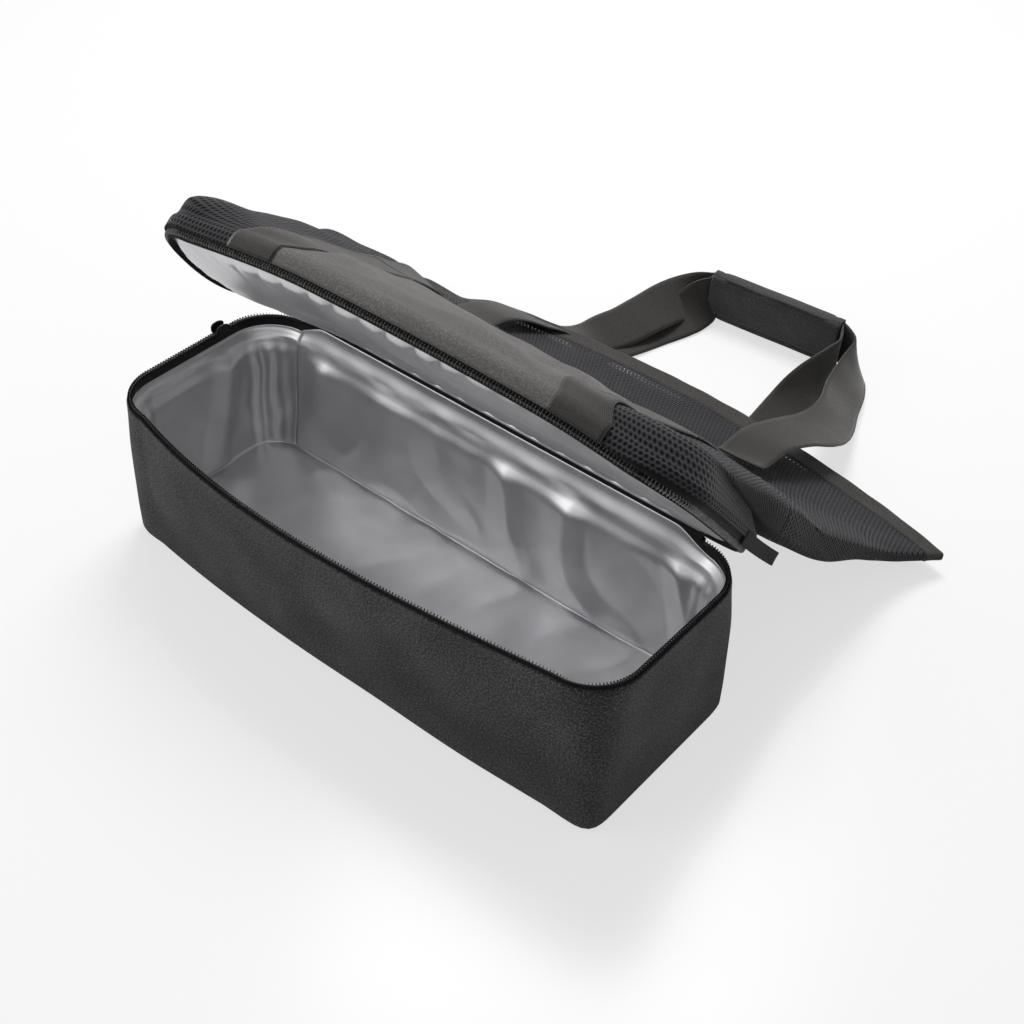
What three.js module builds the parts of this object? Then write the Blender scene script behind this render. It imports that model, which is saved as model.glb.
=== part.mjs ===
// Insulated cooler bag with a mesh tote zipped on top, shown with the lid open.
// Millimetres, +Z up. The origin is the centre of the cooler's foot, on the floor.
// +X runs along the bag, -Y is the open front and +Y is the hinge side.
import * as THREE from 'three';
import { mergeVertices } from 'three/addons/utils/BufferGeometryUtils.js';

// Cooler box
const LENGTH = 460;
const DEPTH = 166;
const HEIGHT = 130;
const CORNER_RADIUS = 40;
const FOOT_INSET = 3.5;
const FRONT_BOW = 20;
const FOOT_BOW = 8;
const LID_BOW = 6;
const BOW_SKEW = 0.3;

// Layers of the wall, from the outside in
const SHELL_WALL = 1.2;
const FOAM_WALL = 5;
const LINER_WALL = 0.8;
const FLOOR_BOARD = 3;
const SEAT_GAP = 0.3;

// Zip
const COIL_SIZE = 4;
const COIL_INSET = 0.6;
const TAPE_WALL = 0.8;
const TAPE_BAND = 14;
const COIL_GAP = 1.2;
const SLIDER_LENGTH = 13;
const SLIDER_PLATE = 1.3;
const SLIDER_NECK = 0.6;
const SLIDER_CLEARANCE = 0.4;
const SLIDER_START = 30;
const PULL_LENGTH = 30;
const PULL_WIDTH = 8;
const PULL_THICKNESS = 1.4;
const PULL_HOLE = 2.2;
const TAIL_WIDTH = 13;
const TAIL_THICKNESS = 1.6;

// Lid
const LID_OPEN_DEG = 50;
const LID_FOAM = 5;
const LID_SKIN = 1;
const LID_FOIL = 0.6;
const BINDING_HEIGHT = 10;
const PIPING_RADIUS = 1.5;
const PIPING_END_GAP = 4;
const STRIP_WALL = 1.2;
const STRIP_HEIGHT = 16;

// Tote. Gaps are shares of the way to the hem, or millimetres round the bag.
const MESH_WALL = 1.6;
const POCKET_WALL = 1.2;
const LAYER_GAP = 0.7;
const HEM_WALL = 2.4;
const CREASE_GAP = 0.0015;
const SEAM_GAP = 2;
const RIM_GAP = 0.9;
const END_POWER = 1.9;

// Webbing. The straps are sewn up the two walls, and the right one leans inward.
const WEBBING_WIDTH = 42;
const WEBBING_THICKNESS = 1.6;
const STRAP_LEFT_X = -125;
const STRAP_RIGHT_X = 148;
const BACK_STRAP_LEFT_X = -105;
const BACK_STRAP_RIGHT_X = 115;
const STRAP_LEAN = -39;
const STRAP_ROWS = 4;

// Grip round the two loops
const GRIP_CENTRE = [6, 481];
const GRIP_TURN_DEG = 6;
const GRIP_LENGTH = 124;
const GRIP_WALL = 1.6;
const GRIP_INSIDE = 7;
const GRIP_CLEARANCE = 0.5;
const LIP_HEIGHT = 22;
const LOOP_SPREAD = 1.5;
const GRIP_TAIL = 4;
const FASTENER_WALL = 0.8;
const FASTENER_HEIGHT = 16;
const FASTENER_LENGTH = 110;
const FLOOR_CLEARANCE = 0.4;

// Routes of the free webbing, each from the tote outward, as middles and width directions
const ARCH_LEFT = [
  { at: [-159, 247, 65.3], wide: [1, -0.1, 0] },
  { at: [-157, 275, 62], wide: [1, 0, 0] },
  { at: [-150, 305, 52], wide: [1, 0, 0] },
  { at: [-141, 334, 36], wide: [1, 0, 0.1] },
];
const ARCH_RIGHT = [
  { at: [125, 240, 63.1], wide: [1, 0.2, 0] },
  { at: [126, 272, 66], wide: [0.95, 0.3, -0.05] },
  { at: [131, 305, 58], wide: [0.95, 0.25, -0.12] },
  { at: [139, 340, 44], wide: [0.97, 0.05, -0.12] },
];
const FRONT_LEG_LEFT = [
  { at: [-140, 337, 33.6], wide: [1, 0, 0.1] },
  { at: [-129, 356, 18], wide: [1, 0.1, 0.1] },
  { at: [-111, 382, 10.5], wide: [0.95, 0, 0.3] },
  { at: [-94, 410, 17.5], wide: [0.7, -0.1, 0.7] },
  { at: [-82, 440, 22.5], wide: [0.3, 0, 0.95] },
  { at: [-75, 462, 23.3], wide: [0.05, 0, 1] },
];
const FRONT_LEG_RIGHT = [
  { at: [97, 483, 23.5], wide: [0, 0, 1] },
  { at: [118, 456, 23.5], wide: [0, 0, 1] },
  { at: [132, 412, 24.5], wide: [-0.15, 0, 1] },
  { at: [138, 372, 32], wide: [-0.55, -0.1, 0.8] },
  { at: [139.4, 346.5, 41.3], wide: [-0.97, -0.05, 0.12] },
];
const BACK_LEG_LEFT = [
  { at: [-83, 345.8, 4.5], wide: [1, 0, 0.1] },
  { at: [-75, 378, 9.5], wide: [0.95, 0, 0.35] },
  { at: [-67, 410, 17.5], wide: [0.7, 0, 0.7] },
  { at: [-64, 436, 22.5], wide: [0.3, 0, 0.95] },
  { at: [-65, 458, 23.3], wide: [0.05, 0, 1] },
];
const BACK_LEG_RIGHT = [
  { at: [80, 470, 23.3], wide: [-0.05, 0, 1] },
  { at: [83, 444, 22.5], wide: [-0.25, 0, 1] },
  { at: [84, 415, 18.5], wide: [-0.6, 0, 0.8] },
  { at: [85, 385, 9.5], wide: [-0.95, 0, 0.35] },
  { at: [86, 345.8, 4.5], wide: [-1, 0, 0.05] },
];

// Levels worked out from the sizes above
const COIL_TOP = HEIGHT - COIL_GAP / 2;
const COIL_FOOT = COIL_TOP - COIL_SIZE;
const SHELL_TOP = COIL_FOOT - SEAT_GAP;
const TAPE_INSET = SHELL_WALL + SEAT_GAP;
const FOAM_INSET = SHELL_WALL + SEAT_GAP;
const LINER_INSET = FOAM_INSET + FOAM_WALL + SEAT_GAP;
const TAPE_FOOT = SHELL_TOP - TAPE_BAND;
const FOAM_TOP = TAPE_FOOT - SEAT_GAP;
const FOAM_FOOT = FLOOR_BOARD + SEAT_GAP;
const LINER_FOOT = FOAM_FOOT + FOAM_WALL + SEAT_GAP;
const LID_COIL_FOOT = HEIGHT + COIL_GAP / 2;
const LID_COIL_TOP = LID_COIL_FOOT + COIL_SIZE;
const LID_FOOT = LID_COIL_TOP + SEAT_GAP;
const LID_TOP = LID_FOOT + BINDING_HEIGHT;
const HINGE_Y = DEPTH / 2;
const PULL_X = -LENGTH / 2 - SLIDER_CLEARANCE - SLIDER_PLATE - PULL_THICKNESS / 2 - SEAT_GAP;
const PULL_Z = COIL_TOP;

const COLOURS = {
  polyester: { color: 0x29292c, roughness: 0.85, metalness: 0 },
  tape: { color: 0x1c1c1e, roughness: 0.8, metalness: 0 },
  foil: { color: 0xb4b5b8, roughness: 0.35, metalness: 0.8 },
  foam: { color: 0xe6e6e2, roughness: 0.95, metalness: 0 },
  mesh: { color: 0x26282c, roughness: 0.8, metalness: 0 },
  webbing: { color: 0x2e2c2a, roughness: 0.85, metalness: 0 },
  coil: { color: 0x202022, roughness: 0.4, metalness: 0 },
  metal: { color: 0x3a3a3d, roughness: 0.35, metalness: 0.9 },
  board: { color: 0x9a9a98, roughness: 0.7, metalness: 0 },
};

function named(name, geometry, finish) {
  const mesh = new THREE.Mesh(geometry, new THREE.MeshStandardMaterial(COLOURS[finish]));
  mesh.name = name;
  return mesh;
}

// Joins rings of points into one closed solid. Each ring holds an even number of points,
// so that an open run is capped by pairing the first point with the last, and so on inward.
// Where a ring folds back on itself, its second half splits its quads the other way, so that
// the two faces of a thin curved wall stay parallel.
function solidFromRings(rings, { closed = false, folded = true } = {}) {
  const count = rings[0].length;
  const positions = rings.flat().flatMap((point) => point.toArray());
  const faces = [];
  const quad = (a, b, c, d) => faces.push(a, b, c, a, c, d);
  const runs = closed ? rings.length : rings.length - 1;
  for (let r = 0; r < runs; r += 1) {
    const here = r * count;
    const next = ((r + 1) % rings.length) * count;
    for (let i = 0; i < count; i += 1) {
      const j = (i + 1) % count;
      if (!folded || i < count / 2) quad(here + i, here + j, next + j, next + i);
      else quad(here + j, next + j, next + i, here + i);
    }
  }
  if (!closed) {
    const last = (rings.length - 1) * count;
    for (let i = 0; i < count / 2 - 1; i += 1) {
      const j = count - 1 - i;
      quad(i, j, j - 1, i + 1);
      quad(last + i + 1, last + j - 1, last + j, last + i);
    }
  }
  const geometry = new THREE.BufferGeometry();
  geometry.setAttribute('position', new THREE.Float32BufferAttribute(positions, 3));
  geometry.setIndex(signedVolume(positions, faces) < 0 ? faces.reverse() : faces);
  geometry.computeVertexNormals();
  return geometry;
}

function signedVolume(positions, faces) {
  const corner = [0, 1, 2].map(() => new THREE.Vector3());
  let volume = 0;
  for (let f = 0; f < faces.length; f += 3) {
    corner.forEach((point, k) => point.fromArray(positions, faces[f + k] * 3));
    volume += corner[0].dot(corner[1].clone().cross(corner[2])) / 6;
  }
  return volume;
}

function steps(from, to, count) {
  return Array.from({ length: count + 1 }, (_, i) => THREE.MathUtils.lerp(from, to, i / count));
}

// Distances round the rounded rectangle, counter-clockwise from the left end of the back side
const QUARTER = (Math.PI * CORNER_RADIUS) / 2;
const SIDE = DEPTH - 2 * CORNER_RADIUS;
const FRONT = LENGTH - 2 * CORNER_RADIUS;
const LEFT_START = QUARTER;
const LEFT_END = LEFT_START + SIDE;
const FRONT_START = LEFT_END + QUARTER;
const FRONT_END = FRONT_START + FRONT;
const RIGHT_START = FRONT_END + QUARTER;
const RIGHT_END = RIGHT_START + SIDE;
const BACK_START = RIGHT_END + QUARTER;
const PERIMETER = BACK_START + FRONT;

// The point and outward direction at a distance round the plan of the box
function plan(distance) {
  const s = THREE.MathUtils.euclideanModulo(distance, PERIMETER);
  const x = LENGTH / 2 - CORNER_RADIUS;
  const y = DEPTH / 2 - CORNER_RADIUS;
  const runs = [
    { end: LEFT_START, centre: [-x, y], turn: Math.PI / 2, straight: null },
    { end: LEFT_END, centre: [-x, y], turn: Math.PI, straight: [0, -1] },
    { end: FRONT_START, centre: [-x, -y], turn: Math.PI, straight: null },
    { end: FRONT_END, centre: [-x, -y], turn: 1.5 * Math.PI, straight: [1, 0] },
    { end: RIGHT_START, centre: [x, -y], turn: 1.5 * Math.PI, straight: null },
    { end: RIGHT_END, centre: [x, -y], turn: 2 * Math.PI, straight: [0, 1] },
    { end: BACK_START, centre: [x, y], turn: 0, straight: null },
    { end: PERIMETER, centre: [x, y], turn: Math.PI / 2, straight: [-1, 0] },
  ];
  const index = runs.findIndex((run) => s <= run.end);
  const run = runs[index];
  const along = s - (index > 0 ? runs[index - 1].end : 0);
  const angle = run.straight ? run.turn : run.turn + along / CORNER_RADIUS;
  const shift = run.straight ? along : 0;
  const [dx, dy] = run.straight ?? [0, 0];
  const normal = new THREE.Vector2(Math.cos(angle), Math.sin(angle));
  return {
    point: new THREE.Vector2(
      run.centre[0] + normal.x * CORNER_RADIUS + dx * shift,
      run.centre[1] + normal.y * CORNER_RADIUS + dy * shift,
    ),
    normal,
  };
}

// How far the front wall stands out at x, as a share of the bow
function bowShare(point) {
  const u = THREE.MathUtils.clamp(point.x / (LENGTH / 2 - CORNER_RADIUS), -1, 1);
  return point.y < 0 ? (1 - u * u) * (1 - BOW_SKEW * u) : 0;
}

// A point of the cooler's wall: inset from the outside, at a height above the floor
function wallPoint(distance, inset, z) {
  const { point, normal } = plan(distance);
  const rise = THREE.MathUtils.clamp(z / HEIGHT, 0, 1);
  const draw = inset + FOOT_INSET * (1 - rise);
  const forward = THREE.MathUtils.lerp(FOOT_BOW, FRONT_BOW, rise) * bowShare(point);
  return new THREE.Vector3(point.x - normal.x * draw, point.y - normal.y * draw - forward, z);
}

function lidPoint(distance, inset, z) {
  const { point, normal } = plan(distance);
  return new THREE.Vector3(
    point.x - normal.x * inset,
    point.y - normal.y * inset - LID_BOW * bowShare(point),
    z,
  );
}

// Distances with enough steps for the corners and the bowed front
function stretch(from, to) {
  const fixed = [
    [0, LEFT_START, 6],
    [LEFT_START, LEFT_END, 2],
    [LEFT_END, FRONT_START, 6],
    [FRONT_START, FRONT_END, 12],
    [FRONT_END, RIGHT_START, 6],
    [RIGHT_START, RIGHT_END, 2],
    [RIGHT_END, BACK_START, 6],
    [BACK_START, PERIMETER, 6],
  ];
  const loop = fixed.flatMap(([start, end, count]) => steps(start, end, count).slice(0, -1));
  const stops = [...loop, ...loop.map((stop) => stop + PERIMETER)];
  const inside = stops.filter((s) => s > from + 1 && s < to - 1);
  return [from, ...inside, to];
}

// Heights that every layer of the wall shares, so that the layers stay parallel
function levels(foot, top) {
  const shared = steps(0, HEIGHT, 4).filter((z) => z > foot + 1 && z < top - 1);
  return [foot, ...shared, top];
}

const FULL_LOOP = stretch(0, PERIMETER).slice(0, -1);
const ZIP_RUN = stretch(0, BACK_START);

// Sweeps a section of [inset, z] corners along the wall. The section is even in number.
function sweepSection(section, distances, closed, place = wallPoint) {
  const rings = distances.map((s) => section.map(([inset, z]) => place(s, inset, z)));
  return solidFromRings(rings, { closed });
}

// A section with straight faces: up the outside and down the inside
function leaf(inset, thickness, heights) {
  const up = heights.map((z) => [inset, z]);
  const down = [...heights].reverse().map((z) => [inset + thickness, z]);
  return [...up, ...down];
}

function octagon(inset, size, foot) {
  const centre = [inset + size / 2, foot + size / 2];
  return steps(0, 2 * Math.PI, 8).slice(0, -1).map((angle) => {
    const turned = angle + Math.PI / 8;
    const reach = size / 2 / Math.cos(Math.PI / 8);
    return [centre[0] + reach * Math.cos(turned), centre[1] + reach * Math.sin(turned)];
  });
}

// A flat plate that fills the plan, between two levels
function plate(inset, foot, top, place = wallPoint) {
  const rings = [foot, top].map((z) => FULL_LOOP.map((s) => place(s, inset, z)));
  return solidFromRings(rings, { folded: false });
}

// An open box with its rim turned outward: up the outside, over the rim, down to its floor
function pan(inset, thickness, rimInset, heights) {
  const ring = (depth, z) => FULL_LOOP.map((s) => wallPoint(s, depth, z));
  const inner = inset + thickness;
  const top = heights[heights.length - 1];
  const outside = heights.map((z) => ring(inset, z));
  const rim = [ring(rimInset, top), ring(rimInset, top + thickness), ring(inner, top + thickness)];
  const inside = [...heights.slice(1, -1)].reverse().map((z) => ring(inner, z));
  const floor = ring(inner, heights[0] + thickness);
  return solidFromRings([...outside, ...rim, ...inside, floor], { folded: false });
}

function coolerShell() {
  const section = leaf(0, SHELL_WALL, levels(0, SHELL_TOP));
  return named('base_shell', sweepSection(section, FULL_LOOP, true), 'polyester');
}

function coolerFloor() {
  return named('base_bottom', plate(SHELL_WALL + SEAT_GAP, 0, FLOOR_BOARD), 'board');
}

function coolerFoam() {
  const section = leaf(FOAM_INSET, FOAM_WALL, levels(FOAM_FOOT, FOAM_TOP));
  const half = QUARTER / 2;
  const edge = SEAT_GAP / 2;
  const panels = {
    base_foam_left: stretch(half + edge, LEFT_END + half - edge),
    base_foam_front: stretch(LEFT_END + half + edge, FRONT_END + half - edge),
    base_foam_right: stretch(FRONT_END + half + edge, RIGHT_END + half - edge),
    base_foam_back: stretch(RIGHT_END + half + edge, PERIMETER + half - edge),
  };
  const walls = Object.entries(panels).map(([name, distances]) =>
    named(name, sweepSection(section, distances, false), 'foam'));
  const floor = plate(FOAM_INSET + FOAM_WALL + SEAT_GAP, FOAM_FOOT, FOAM_FOOT + FOAM_WALL);
  return [...walls, named('base_foam_floor', floor, 'foam')];
}

function coolerLiner() {
  const rimInset = TAPE_INSET + TAPE_WALL + SEAT_GAP;
  const heights = levels(LINER_FOOT, FOAM_TOP + SEAT_GAP);
  return named('base_liner', pan(LINER_INSET, LINER_WALL, rimInset, heights), 'foil');
}

function coolerZipTape() {
  const section = leaf(TAPE_INSET, TAPE_WALL, [TAPE_FOOT, SHELL_TOP]);
  return named('base_zip_tape', sweepSection(section, ZIP_RUN, false), 'tape');
}

function coolerZipCoil() {
  const section = octagon(COIL_INSET, COIL_SIZE, COIL_FOOT);
  return named('base_zip_coil', sweepSection(section, ZIP_RUN, false), 'coil');
}

// Hinge: piping on the hinge line, held by a strip on the back of the shell
function hingePiping() {
  const length = FRONT - 2 * PIPING_END_GAP;
  const piping = new THREE.CylinderGeometry(PIPING_RADIUS, PIPING_RADIUS, length, 12);
  const mesh = named('hinge_piping', mergeVertices(bare(piping)), 'tape');
  mesh.rotation.z = Math.PI / 2;
  mesh.position.set(0, HINGE_Y, HEIGHT);
  return mesh;
}

function bare(geometry) {
  geometry.deleteAttribute('normal');
  geometry.deleteAttribute('uv');
  return geometry;
}

function hingeStrip() {
  const top = HEIGHT - PIPING_RADIUS - SEAT_GAP;
  const section = leaf(-STRIP_WALL - SEAT_GAP, STRIP_WALL, [top - STRIP_HEIGHT, top]);
  const run = stretch(BACK_START + PIPING_END_GAP, PERIMETER - PIPING_END_GAP);
  return named('hinge_strip', sweepSection(section, run, false), 'tape');
}

// Slider: two plates that straddle the coil, joined over it by a thin neck
function zipSlider() {
  const outer = -SLIDER_CLEARANCE - SLIDER_PLATE;
  const inner = COIL_INSET + COIL_SIZE + SLIDER_CLEARANCE;
  const foot = COIL_FOOT - SLIDER_CLEARANCE;
  const top = LID_COIL_TOP + SLIDER_CLEARANCE / 2;
  const neck = (COIL_GAP - SLIDER_NECK) / 2;
  const shape = new THREE.Shape();
  const corners = [
    [outer, foot], [outer + SLIDER_PLATE, foot], [outer + SLIDER_PLATE, COIL_TOP + neck],
    [inner, COIL_TOP + neck], [inner, foot], [inner + SLIDER_PLATE, foot],
    [inner + SLIDER_PLATE, top], [inner, top], [inner, LID_COIL_FOOT - neck],
    [outer + SLIDER_PLATE, LID_COIL_FOOT - neck], [outer + SLIDER_PLATE, top], [outer, top],
  ];
  shape.setFromPoints(corners.map(([inset, z]) => new THREE.Vector2(inset - LENGTH / 2, z)));
  const body = new THREE.ExtrudeGeometry(shape, { depth: SLIDER_LENGTH, bevelEnabled: false });
  const slider = named('zip_slider', mergeVertices(bare(body)), 'metal');
  slider.rotation.x = Math.PI / 2;
  slider.position.y = SLIDER_START + SLIDER_LENGTH / 2;
  return slider;
}

function zipPull() {
  const half = PULL_WIDTH / 2;
  const shape = new THREE.Shape();
  shape.moveTo(-half, 0);
  shape.lineTo(half, 0);
  shape.lineTo(half, half - PULL_LENGTH);
  shape.absarc(0, half - PULL_LENGTH, half, 0, -Math.PI, true);
  shape.closePath();
  const hole = new THREE.Path();
  hole.absarc(0, half - PULL_LENGTH, PULL_HOLE, 0, 2 * Math.PI, false);
  shape.holes.push(hole);
  const options = { depth: PULL_THICKNESS, bevelEnabled: false, curveSegments: 8 };
  const pull = named('zip_pull', mergeVertices(bare(new THREE.ExtrudeGeometry(shape, options))), 'metal');
  pull.rotation.set(Math.PI / 2, 0, Math.PI / 2, 'ZXY');
  pull.position.set(PULL_X - PULL_THICKNESS / 2, SLIDER_START, PULL_Z);
  return pull;
}

// Everything from here to the tote is drawn with the lid shut, then turned open
function lidPanels() {
  const inset = TAPE_INSET + TAPE_WALL + SEAT_GAP;
  const foil = plate(inset, LID_FOOT, LID_FOOT + LID_FOIL, lidPoint);
  const foamFoot = LID_FOOT + LID_FOIL + SEAT_GAP;
  const foam = plate(inset, foamFoot, foamFoot + LID_FOAM, lidPoint);
  const skinFoot = foamFoot + LID_FOAM + SEAT_GAP;
  const skin = plate(inset, skinFoot, skinFoot + LID_SKIN, lidPoint);
  return [
    named('lid_liner', foil, 'foil'),
    named('lid_foam', foam, 'foam'),
    named('lid_top_panel', skin, 'polyester'),
  ];
}

function lidEdge() {
  const coil = sweepSection(octagon(COIL_INSET, COIL_SIZE, LID_COIL_FOOT), ZIP_RUN, false, lidPoint);
  const tapeSection = leaf(TAPE_INSET, TAPE_WALL, [LID_FOOT, LID_TOP]);
  const tape = sweepSection(tapeSection, ZIP_RUN, false, lidPoint);
  const bindingSection = leaf(0, SHELL_WALL, [LID_FOOT, LID_TOP]);
  const binding = sweepSection(bindingSection, FULL_LOOP, true, lidPoint);
  const flap = leaf(0, SHELL_WALL, [HEIGHT + PIPING_RADIUS + SEAT_GAP, LID_FOOT - SEAT_GAP]);
  const run = stretch(BACK_START + PIPING_END_GAP, PERIMETER - PIPING_END_GAP);
  return [
    named('lid_zip_coil', coil, 'coil'),
    named('lid_zip_tape', tape, 'tape'),
    named('lid_binding', binding, 'tape'),
    named('lid_hinge_flap', sweepSection(flap, run, false, lidPoint), 'tape'),
  ];
}

// The hinge line is the X axis of this turn
const OPENING = new THREE.Matrix4()
  .makeTranslation(0, HINGE_Y, HEIGHT)
  .multiply(new THREE.Matrix4().makeRotationX(THREE.MathUtils.degToRad(-LID_OPEN_DEG)))
  .multiply(new THREE.Matrix4().makeTranslation(0, -HINGE_Y, -HEIGHT));

function openedLid() {
  const lid = new THREE.Group();
  lid.add(...lidPanels(), ...lidEdge());
  lid.applyMatrix4(OPENING);
  return lid;
}

// Tote. Its section starts as the lid's rim and flattens towards the hem. Each station gives
// the middle of the front and back walls as [y, z], the two ends as [reach past the box, y, z]
// and how thick the ends are beside the middle.
const STATIONS = [
  { front: [7, 264], back: [103, 140], left: [-19, 50, 205], right: [-11, 52, 209], end: 1 },
  { front: [34, 242], back: [118, 124], left: [-17, 76, 192], right: [-8, 74, 186], end: 0.95 },
  { front: [81, 204], back: [140, 101], left: [-11, 108, 172], right: [-4, 104, 156], end: 0.9 },
  { front: [127, 167], back: [172, 72], left: [-1, 148, 151], right: [0, 146, 116], end: 0.85 },
  { front: [172, 122], back: [208, 45], left: [12, 190, 116], right: [4, 184, 78], end: 0.8 },
  { front: [219, 72], back: [246, 23], left: [25, 230, 71], right: [12, 224, 52], end: 0.7 },
  { front: [269, 46], back: [284, 9], left: [37, 268, 36], right: [21, 257, 30], end: 0.55 },
  { front: [319, 27], back: [320, 4], left: [49, 304, 15], right: [37, 290, 16], end: 0.4 },
  { front: [344, 20], back: [342, 3], left: [52, 320, 11], right: [47, 304, 13], end: 0.3 },
];

// The two walls are creased across the bag here, where the tote leaves the lid
const FRONT_CREASE = 4 / STATIONS.length;
const BACK_CREASE = 2 / STATIONS.length;
const HEM_START = 1 - 1 / STATIONS.length;

function lidRimPoint(distance) {
  return lidPoint(distance, MESH_WALL / 2, LID_TOP + RIM_GAP).applyMatrix4(OPENING);
}

function stationPoint(station, distance) {
  const { point } = plan(distance);
  const across = point.x / (LENGTH / 2);
  const deep = -point.y / (DEPTH / 2);
  const share = Math.abs(across) ** END_POWER;
  const end = across < 0 ? station.left : station.right;
  const size = THREE.MathUtils.lerp(1, station.end, share);
  const [y, z] = [0, 1].map((k) => {
    const middle = (station.front[k] + station.back[k]) / 2;
    const half = (station.front[k] - station.back[k]) / 2;
    return THREE.MathUtils.lerp(middle, end[k + 1], share) + half * size * deep;
  });
  return new THREE.Vector3(
    THREE.MathUtils.lerp(-LENGTH / 2 - station.left[0], LENGTH / 2 + station.right[0], (across + 1) / 2),
    y,
    z,
  );
}

// A thread of the tote's cloth, from the lid's rim to the hem
function thread(distance) {
  const points = STATIONS.map((station) => stationPoint(station, distance));
  return new THREE.CatmullRomCurve3([lidRimPoint(distance), ...points], false, 'centripetal');
}

const threads = new Map();

function totePoint(distance, share) {
  const key = distance.toFixed(3);
  if (!threads.has(key)) threads.set(key, thread(distance));
  return threads.get(key).getPoint(THREE.MathUtils.clamp(share, 0, 1));
}

// Outward direction of the cloth, from points a short way along and across it
function toteNormal(distance, share) {
  const from = Math.max(share - 0.004, 0);
  const to = Math.min(share + 0.004, 1);
  const along = totePoint(distance, to).sub(totePoint(distance, from));
  const across = totePoint(distance + 1, share).sub(totePoint(distance - 1, share));
  return across.cross(along).normalize();
}

function clothPoint(distance, share, lift) {
  return totePoint(distance, share).addScaledVector(toteNormal(distance, share), lift);
}

// A sheet of cloth on the tote. Its edges are distances, which may lean as they rise,
// and shares of the way to the hem, which may change round the bag.
function toteSheet({ distances, lean = () => 0, from, to, rows, lift = 0, thickness }) {
  const place = (distance, t, height) => {
    const share = THREE.MathUtils.lerp(from(distance), to(distance), t);
    return clothPoint(distance + lean(distance) * share, share, height);
  };
  const rings = steps(0, 1, rows).map((t) => [
    ...distances.map((distance) => place(distance, t, lift + thickness)),
    ...[...distances].reverse().map((distance) => place(distance, t, lift)),
  ]);
  return solidFromRings(rings);
}

function creaseShare(distance) {
  const deep = -plan(distance).point.y / (DEPTH / 2);
  return THREE.MathUtils.lerp(BACK_CREASE, FRONT_CREASE, (1 + deep) / 2);
}

const FOLD_ROWS = 8;
const WALL_ROWS = 6;
const RIM = () => 0;
const BEFORE_CREASE = (distance) => creaseShare(distance) - CREASE_GAP;
const AFTER_CREASE = (distance) => creaseShare(distance) + CREASE_GAP;
const BEFORE_HEM = () => HEM_START - CREASE_GAP;
const HEM_FOOT = () => HEM_START + CREASE_GAP;
const MOUTH = () => 1;

// The four mesh walls, each in two stretches that meet at the crease
function toteWalls() {
  const half = QUARTER / 2;
  const sides = {
    left: stretch(half + SEAM_GAP, LEFT_END + half - SEAM_GAP),
    front: stretch(LEFT_END + half + SEAM_GAP, FRONT_END + half - SEAM_GAP),
    right: stretch(FRONT_END + half + SEAM_GAP, RIGHT_END + half - SEAM_GAP),
    back: stretch(RIGHT_END + half + SEAM_GAP, PERIMETER + half - SEAM_GAP),
  };
  return Object.entries(sides).flatMap(([side, distances]) => {
    const low = { distances, from: RIM, to: BEFORE_CREASE, rows: FOLD_ROWS, thickness: MESH_WALL };
    const high = { ...low, from: AFTER_CREASE, to: BEFORE_HEM, rows: WALL_ROWS };
    return [
      named(`tote_${side}_fold`, toteSheet(low), 'mesh'),
      named(`tote_${side}_mesh`, toteSheet(high), 'mesh'),
    ];
  });
}

// The hem band: one length in front, and three behind that meet at the back straps
function toteHem() {
  const quarter = SIDE / 2;
  const runs = {
    hem_front: [LEFT_START + quarter, RIGHT_START + quarter],
    hem_back_right: [RIGHT_START + quarter, backDistance(BACK_STRAP_RIGHT_X)],
    hem_back_middle: [backDistance(BACK_STRAP_RIGHT_X), backDistance(BACK_STRAP_LEFT_X)],
    hem_back_left: [backDistance(BACK_STRAP_LEFT_X), PERIMETER + LEFT_START + quarter],
  };
  const shared = { from: HEM_FOOT, to: MOUTH, rows: 3, thickness: HEM_WALL, lift: -HEM_WALL / 4 };
  return Object.entries(runs).map(([name, [start, end]]) => {
    const distances = stretch(start + SEAM_GAP, end - SEAM_GAP);
    return named(name, toteSheet({ distances, ...shared }), 'polyester');
  });
}

function frontDistance(x) {
  return FRONT_START + x + FRONT / 2;
}

function backDistance(x) {
  return BACK_START + FRONT / 2 - x;
}

// The pocket panel lies on the front mesh between the two straps
function frontPocket() {
  const edge = WEBBING_WIDTH / 2 + SEAT_GAP;
  const left = frontDistance(STRAP_LEFT_X + edge);
  const right = frontDistance(STRAP_RIGHT_X - edge);
  const sheet = {
    distances: stretch(left, right),
    lean: (distance) => (STRAP_LEAN * (distance - left)) / (right - left),
    from: RIM,
    to: BEFORE_CREASE,
    rows: FOLD_ROWS,
    lift: MESH_WALL + LAYER_GAP,
    thickness: POCKET_WALL,
  };
  return named('front_pocket_panel', toteSheet(sheet), 'polyester');
}

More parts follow.
